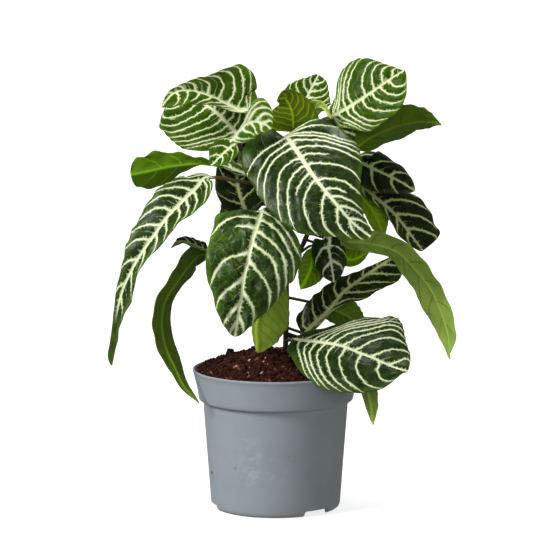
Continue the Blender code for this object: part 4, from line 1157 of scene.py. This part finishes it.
class ZEBRA_OT_soil(bpy.types.Operator):
    """Lay the peat with its crumbs, clumps, bark bits and pale bits"""
    bl_idname = "zebra.soil"
    bl_label = "Soil"

    def execute(self, context):
        settings = context.scene.zebra_soil
        peat = settings.colour
        self.bed(peat)
        crumbs = self.scatter("soil_crumbs", peat_finish("peat_crumbs", peat, 0.6), seed=3,
                              count=settings.crumbs, size=(0.0004, 0.0019), flat=0.9)
        only(crumbs)
        bpy.ops.object.shade_smooth()
        self.scatter("soil_bark_bits", chip_finish("bark_bits", (0.27, 0.080, 0.030)), seed=8,
                     count=230, size=(0.0006, 0.0022), flat=0.5)
        self.scatter("soil_pale_bits", chip_finish("pale_bits", (0.62, 0.38, 0.28)), seed=11,
                     count=60, size=(0.0005, 0.0021), flat=0.6)
        self.scatter("soil_clumps", peat_finish("peat_clumps", peat, 1.4), seed=21,
                     count=90, size=(0.0012, 0.0034), flat=0.8, reach=0.0535, subdivisions=2)
        return {"FINISHED"}

    def bed(self, peat):
        fresh()
        bpy.ops.mesh.primitive_circle_add(vertices=BED_FACETS, radius=BED_RADIUS,
                                          fill_type="NGON", location=(0, 0, 0))
        bed = named("soil_bed")
        bpy.ops.object.mode_set(mode="EDIT")
        bpy.ops.mesh.select_all(action="SELECT")
        for _ in range(BED_RINGS):
            bpy.ops.mesh.inset(thickness=RING_WIDTH)
        bpy.ops.object.mode_set(mode="OBJECT")
        for vert in bed.data.vertices:
            vert.co.z = soil_height(vert.co.x, vert.co.y)
        modify(bed, "SOLIDIFY", thickness=BED_DEPTH, offset=-1)
        apply_all(bed)
        bpy.ops.object.shade_smooth()
        coat(bed, peat_finish("peat_bed", peat))
        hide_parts("soil")
        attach(bed, BODY)

    def scatter(self, name, finish, seed, count, size, flat, reach=0.056, subdivisions=1):
        """Copies of one rough pebble, sunk into the soil. size: the smallest and the largest
        in metres, most of them small. flat: height beside the width. reach: how far out."""
        fresh()
        bpy.ops.mesh.primitive_ico_sphere_add(subdivisions=subdivisions, radius=1.0)
        pebble = named(name)
        ball = pebble.data
        points = np.empty(len(ball.vertices) * 3)
        ball.vertices.foreach_get("co", points)
        points = points.reshape(-1, 3)
        loops = np.array([list(p.vertices) for p in ball.polygons])
        dice = np.random.default_rng(seed)
        all_points, all_faces = [], []
        for k in range(count):
            far = reach * math.sqrt(dice.random())
            turn = dice.random() * math.tau
            x, y = far * math.cos(turn), far * math.sin(turn)
            grade = size[0] + (size[1] - size[0]) * dice.random() ** 2.5
            stretch = dice.uniform(0.6, 1.25, 3) * grade * np.array([1, 1, flat])
            lump = points * stretch * (1 + 0.28 * dice.standard_normal((len(points), 1)))
            spin = Matrix.Rotation(dice.random() * math.tau, 3, Vector(dice.standard_normal(3)))
            lump = lump @ np.array(spin).T
            lump += np.array([x, y, soil_height(x, y) + grade * flat * 0.35])
            all_faces.append(loops + k * len(points))
            all_points.append(lump)
        mesh = bpy.data.meshes.new(name)
        mesh.from_pydata(np.concatenate(all_points).tolist(), [],
                         np.concatenate(all_faces).tolist())
        pebble.data = mesh
        bpy.data.meshes.remove(ball)
        mesh.name = name
        mesh.materials.append(finish)
        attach(pebble, BODY)
        return pebble


def straight(low, high, steps):
    """Points inside a straight stretch of the pot's profile, between two (radius, height)."""
    shares = [k / steps for k in range(1, steps)]
    return [tuple(a + (b - a) * t for a, b in zip(low, high)) for t in shares]


def pot_profile():
    """Radius and height of the pot's wall, from its middle pad out, up and back inside."""
    top, step = POT_HEIGHT, POT_HEIGHT - COLLAR_HEIGHT
    foot_inner = FOOT_RADIUS - FOOT_WIDTH
    floor_top = FLOOR_UNDER + WALL
    inner_low = FOOT_RADIUS - WALL + 0.0004
    pad = [(PAD_RADIUS * 0.5, 0.0), (PAD_RADIUS - 0.0003, 0.0), (PAD_RADIUS, 0.0002),
           (PAD_RADIUS + 0.0012, FLOOR_UNDER)]
    foot = [(foot_inner - 0.0006, FLOOR_UNDER), (foot_inner - 0.0001, 0.0003),
            (foot_inner + 0.0002, 0.0), (FOOT_RADIUS - 0.0029, 0.0),
            (FOOT_RADIUS - 0.0019, 0.0004), (FOOT_RADIUS - 0.0010, 0.0011),
            (FOOT_RADIUS - 0.0004, 0.0021), (FOOT_RADIUS, FOOT_ROUND)]
    ledge = [(SHOULDER_RADIUS - 0.0001, step - 0.0004), (SHOULDER_RADIUS, step),
             (SHOULDER_RADIUS + 0.0005, step + 0.0002),
             (COLLAR_LOW_RADIUS - 0.0012, step + 0.0004),
             (COLLAR_LOW_RADIUS - 0.0004, step + 0.0010), (COLLAR_LOW_RADIUS, step + LIP_ROUND)]
    rim = [(RIM_RADIUS - 0.0005, top - LIP_ROUND), (RIM_RADIUS - 0.0001, top - 0.0016),
           (RIM_RADIUS, top - 0.0009), (RIM_RADIUS - 0.0002, top - 0.0002),
           (RIM_RADIUS - 0.0007, top), (RIM_RADIUS - 0.0013, top - 0.0002),
           (RIM_RADIUS - 0.0017, top - 0.0010)]
    inside = [(COLLAR_LOW_RADIUS - WALL, step + 0.0026),
              (SHOULDER_RADIUS - WALL - 0.0004, step + 0.0008), (inner_low, floor_top + 0.002),
              (inner_low - 0.002, floor_top), (PAD_RADIUS + 0.0004, floor_top),
              (PAD_RADIUS - 0.0010, WALL + 0.0004), (PAD_RADIUS * 0.5, WALL + 0.0004)]
    wall = straight(foot[-1], (SHOULDER_RADIUS, step), 12)
    collar = straight(ledge[-1], (RIM_RADIUS - 0.0006, top - LIP_ROUND), 7)
    return pad + foot + wall + ledge + collar + rim + inside


class ZEBRA_OT_pot(bpy.types.Operator):
    """Turn the pot with its collar, notched foot and drain holes"""
    bl_idname = "zebra.pot"
    bl_label = "Pot"

    def execute(self, context):
        settings = context.scene.zebra_pot
        pot = self.shell(settings.steps)
        for index, angle in enumerate(NOTCH_ANGLES):
            self.cut(pot, self.notch(index, math.radians(angle)))
        for index in range(DRAIN_COUNT):
            self.cut(pot, self.drain(index, math.tau * (index + 0.53) / DRAIN_COUNT))
        self.press(pot, settings.dent)
        only(pot)
        bpy.ops.object.shade_smooth_by_angle(angle=math.radians(38))
        coat(pot, pot_finish(settings.colour))
        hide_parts("pot")
        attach(pot, BODY)
        return {"FINISHED"}

    def shell(self, steps):
        """Draw the pad's circle out along the profile, ring by ring."""
        profile = pot_profile()
        radius, height = profile[0]
        fresh()
        bpy.ops.mesh.primitive_circle_add(vertices=steps, radius=radius,
                                          location=(0, 0, height), fill_type="NGON")
        pot = named("pot_shell")
        bpy.ops.object.mode_set(mode="EDIT")
        bpy.ops.mesh.select_all(action="SELECT")
        bpy.ops.mesh.select_mode(type="EDGE")
        bpy.ops.mesh.region_to_loop()
        for wide, high in profile[1:]:
            bpy.ops.mesh.extrude_edges_move(
                TRANSFORM_OT_translate={"value": (0, 0, high - height)})
            scale = wide / radius
            bpy.ops.transform.resize(value=(scale, scale, 1), center_override=(0, 0, high))
            radius, height = wide, high
        bpy.ops.mesh.edge_face_add()
        face_outwards(pot)
        return pot

    def notch(self, index, turn):
        fresh()
        far = FOOT_RADIUS + 0.0006
        bpy.ops.mesh.primitive_cube_add(
            size=1.0, location=(far * math.cos(turn), far * math.sin(turn), -0.0004),
            rotation=(0, 0, turn))
        cutter = named(f"notch_{index}")
        cutter.scale = NOTCH_SIZE
        settle(cutter)
        modify(cutter, "BEVEL", width=NOTCH_ROUND, segments=5, limit_method="ANGLE")
        apply_all(cutter)
        return cutter

    def drain(self, index, turn):
        fresh()
        bpy.ops.mesh.primitive_cylinder_add(
            vertices=32, radius=DRAIN_RADIUS, depth=DRAIN_CUT,
            location=(DRAIN_RING * math.cos(turn), DRAIN_RING * math.sin(turn), DRAIN_CUT_AT))
        cutter = named(f"drain_{index}")
        settle(cutter)
        return cutter

    def cut(self, pot, cutter):
        modify(pot, "BOOLEAN", operation="DIFFERENCE", solver="EXACT", object=cutter)
        apply_all(pot)
        bpy.data.objects.remove(cutter, do_unlink=True)

    def press(self, pot, depth):
        """Press the collar in a little on the left, as a handled pot is."""
        step = POT_HEIGHT - COLLAR_HEIGHT
        for vert in pot.data.vertices:
            x, y, z = vert.co
            off = abs((math.degrees(math.atan2(y, x)) - DENT_ANGLE + 180) % 360 - 180)
            if z > step - 0.001 and off < DENT_REACH:
                share = min(1.0, max(0.0, (z - step + 0.004) / (COLLAR_HEIGHT - 0.002)))
                amount = depth * math.cos(math.radians(off * 90 / DENT_REACH)) ** 2
                amount *= max(0.0, math.sin(math.pi * share))
                reach = math.hypot(x, y)
                vert.co.x -= x / reach * amount
                vert.co.y -= y / reach * amount
        pot.data.update()


class ZEBRA_OT_stage(bpy.types.Operator):
    """Set the floor, the soft lights and the camera"""
    bl_idname = "zebra.stage"
    bl_label = "Stage"

    def execute(self, context):
        settings = context.scene.zebra_stage
        self.floor()
        for name, (place, aim, size, share) in LIGHTS.items():
            self.area(name, place, aim, size, settings.key * share)
        world = bpy.data.worlds.new("studio")
        context.scene.world = world
        world.use_nodes = True
        background = world.node_tree.nodes["Background"].inputs
        background["Color"].default_value = (1, 1, 1, 1)
        background["Strength"].default_value = WORLD_LIGHT
        self.camera(context, settings)
        return {"FINISHED"}

    def floor(self):
        """White paper that turns up into a wall behind the plant."""
        fresh()
        bpy.ops.mesh.primitive_plane_add(size=1.0, location=(0, 0, 0))
        floor = named("floor")
        for vert in floor.data.vertices:
            vert.co.x *= FLOOR_WIDTH
            vert.co.y = FLOOR_FRONT if vert.co.y < 0 else FLOOR_BACK
        bpy.ops.object.mode_set(mode="EDIT")
        bpy.ops.mesh.select_mode(type="EDGE")
        bpy.ops.mesh.select_all(action="DESELECT")
        bpy.ops.object.mode_set(mode="OBJECT")
        for edge in floor.data.edges:
            edge.select = all(floor.data.vertices[v].co.y > 2 for v in edge.vertices)
        bpy.ops.object.mode_set(mode="EDIT")
        turns = [math.radians(90 * (k + 1) / FLOOR_TURN_STEPS) for k in range(FLOOR_TURN_STEPS)]
        steps = [(0, FLOOR_TURN_STEP * math.cos(turn), FLOOR_TURN_STEP * math.sin(turn))
                 for turn in turns]
        for step in (*steps, (0, 0, BACKDROP_HEIGHT)):
            bpy.ops.mesh.extrude_edges_move(TRANSFORM_OT_translate={"value": step})
        face_outwards(floor)
        bpy.ops.object.shade_smooth()
        paper = Finish("floor_paper", Roughness=0.9, Specular_IOR_Level=0.1,
                       Emission_Strength=0.76)
        coat(floor, paper.put(Base_Color=(0.44, 0.44, 0.44), Emission_Color=(1, 1, 1)))
        floor.visible_diffuse = False
        floor.visible_glossy = False

    def area(self, name, place, aim, size, power):
        fresh()
        bpy.ops.object.light_add(type="AREA", location=place)
        lamp = bpy.context.object
        lamp.name = name
        lamp.data.shape = "RECTANGLE"
        lamp.data.size, lamp.data.size_y = size
        lamp.data.energy = power
        lamp.rotation_euler = (Vector(aim) - Vector(place)).to_track_quat("-Z", "Y").to_euler()

    def camera(self, context, settings):
        pitch, far = settings.pitch, settings.distance
        ahead = Vector((0, math.cos(pitch), -math.sin(pitch)))
        up = Vector((0, math.sin(pitch), math.cos(pitch)))
        fresh()
        bpy.ops.object.camera_add(location=CAMERA_AIM - ahead * far - up * CAMERA_DROP,
                                  rotation=(math.pi / 2 - pitch, 0, 0))
        camera = context.object
        camera.name = "camera"
        camera.data.sensor_width = 36
        camera.data.lens = CAMERA_LENS * far / CAMERA_DISTANCE
        camera.data.clip_end = 50
        context.scene.camera = camera
        context.scene.view_settings.view_transform = "Standard"


class ZEBRA_PT_panel(bpy.types.Panel):
    """Lists the pieces of the plant"""
    bl_label = "Zebra Plant"
    bl_idname = "ZEBRA_PT_panel"
    bl_space_type = "VIEW_3D"
    bl_region_type = "UI"
    bl_category = "Zebra Plant"

    def draw(self, context):
        for step in STEPS:
            self.layout.operator(step)


STEPS = ("zebra.stage", "zebra.pot", "zebra.soil", "zebra.stem", "zebra.leaves")
GROUPS = {"zebra_leaf": ZebraLeafSettings, "zebra_pot": ZebraPotSettings,
          "zebra_soil": ZebraSoilSettings, "zebra_stage": ZebraStageSettings}
CLASSES = (*GROUPS.values(), ZEBRA_OT_stage, ZEBRA_OT_pot, ZEBRA_OT_soil, ZEBRA_OT_stem,
           ZEBRA_OT_leaves, ZEBRA_PT_panel)


def register():
    for item in CLASSES:
        bpy.utils.register_class(item)
    for name, group in GROUPS.items():
        setattr(bpy.types.Scene, name, PointerProperty(type=group))


def unregister():
    for name in GROUPS:
        delattr(bpy.types.Scene, name)
    for item in reversed(CLASSES):
        bpy.utils.unregister_class(item)


def main():
    register()
    for step in STEPS:
        group, name = step.split(".")
        getattr(getattr(bpy.ops, group), name)()


if __name__ == "__main__":
    main()
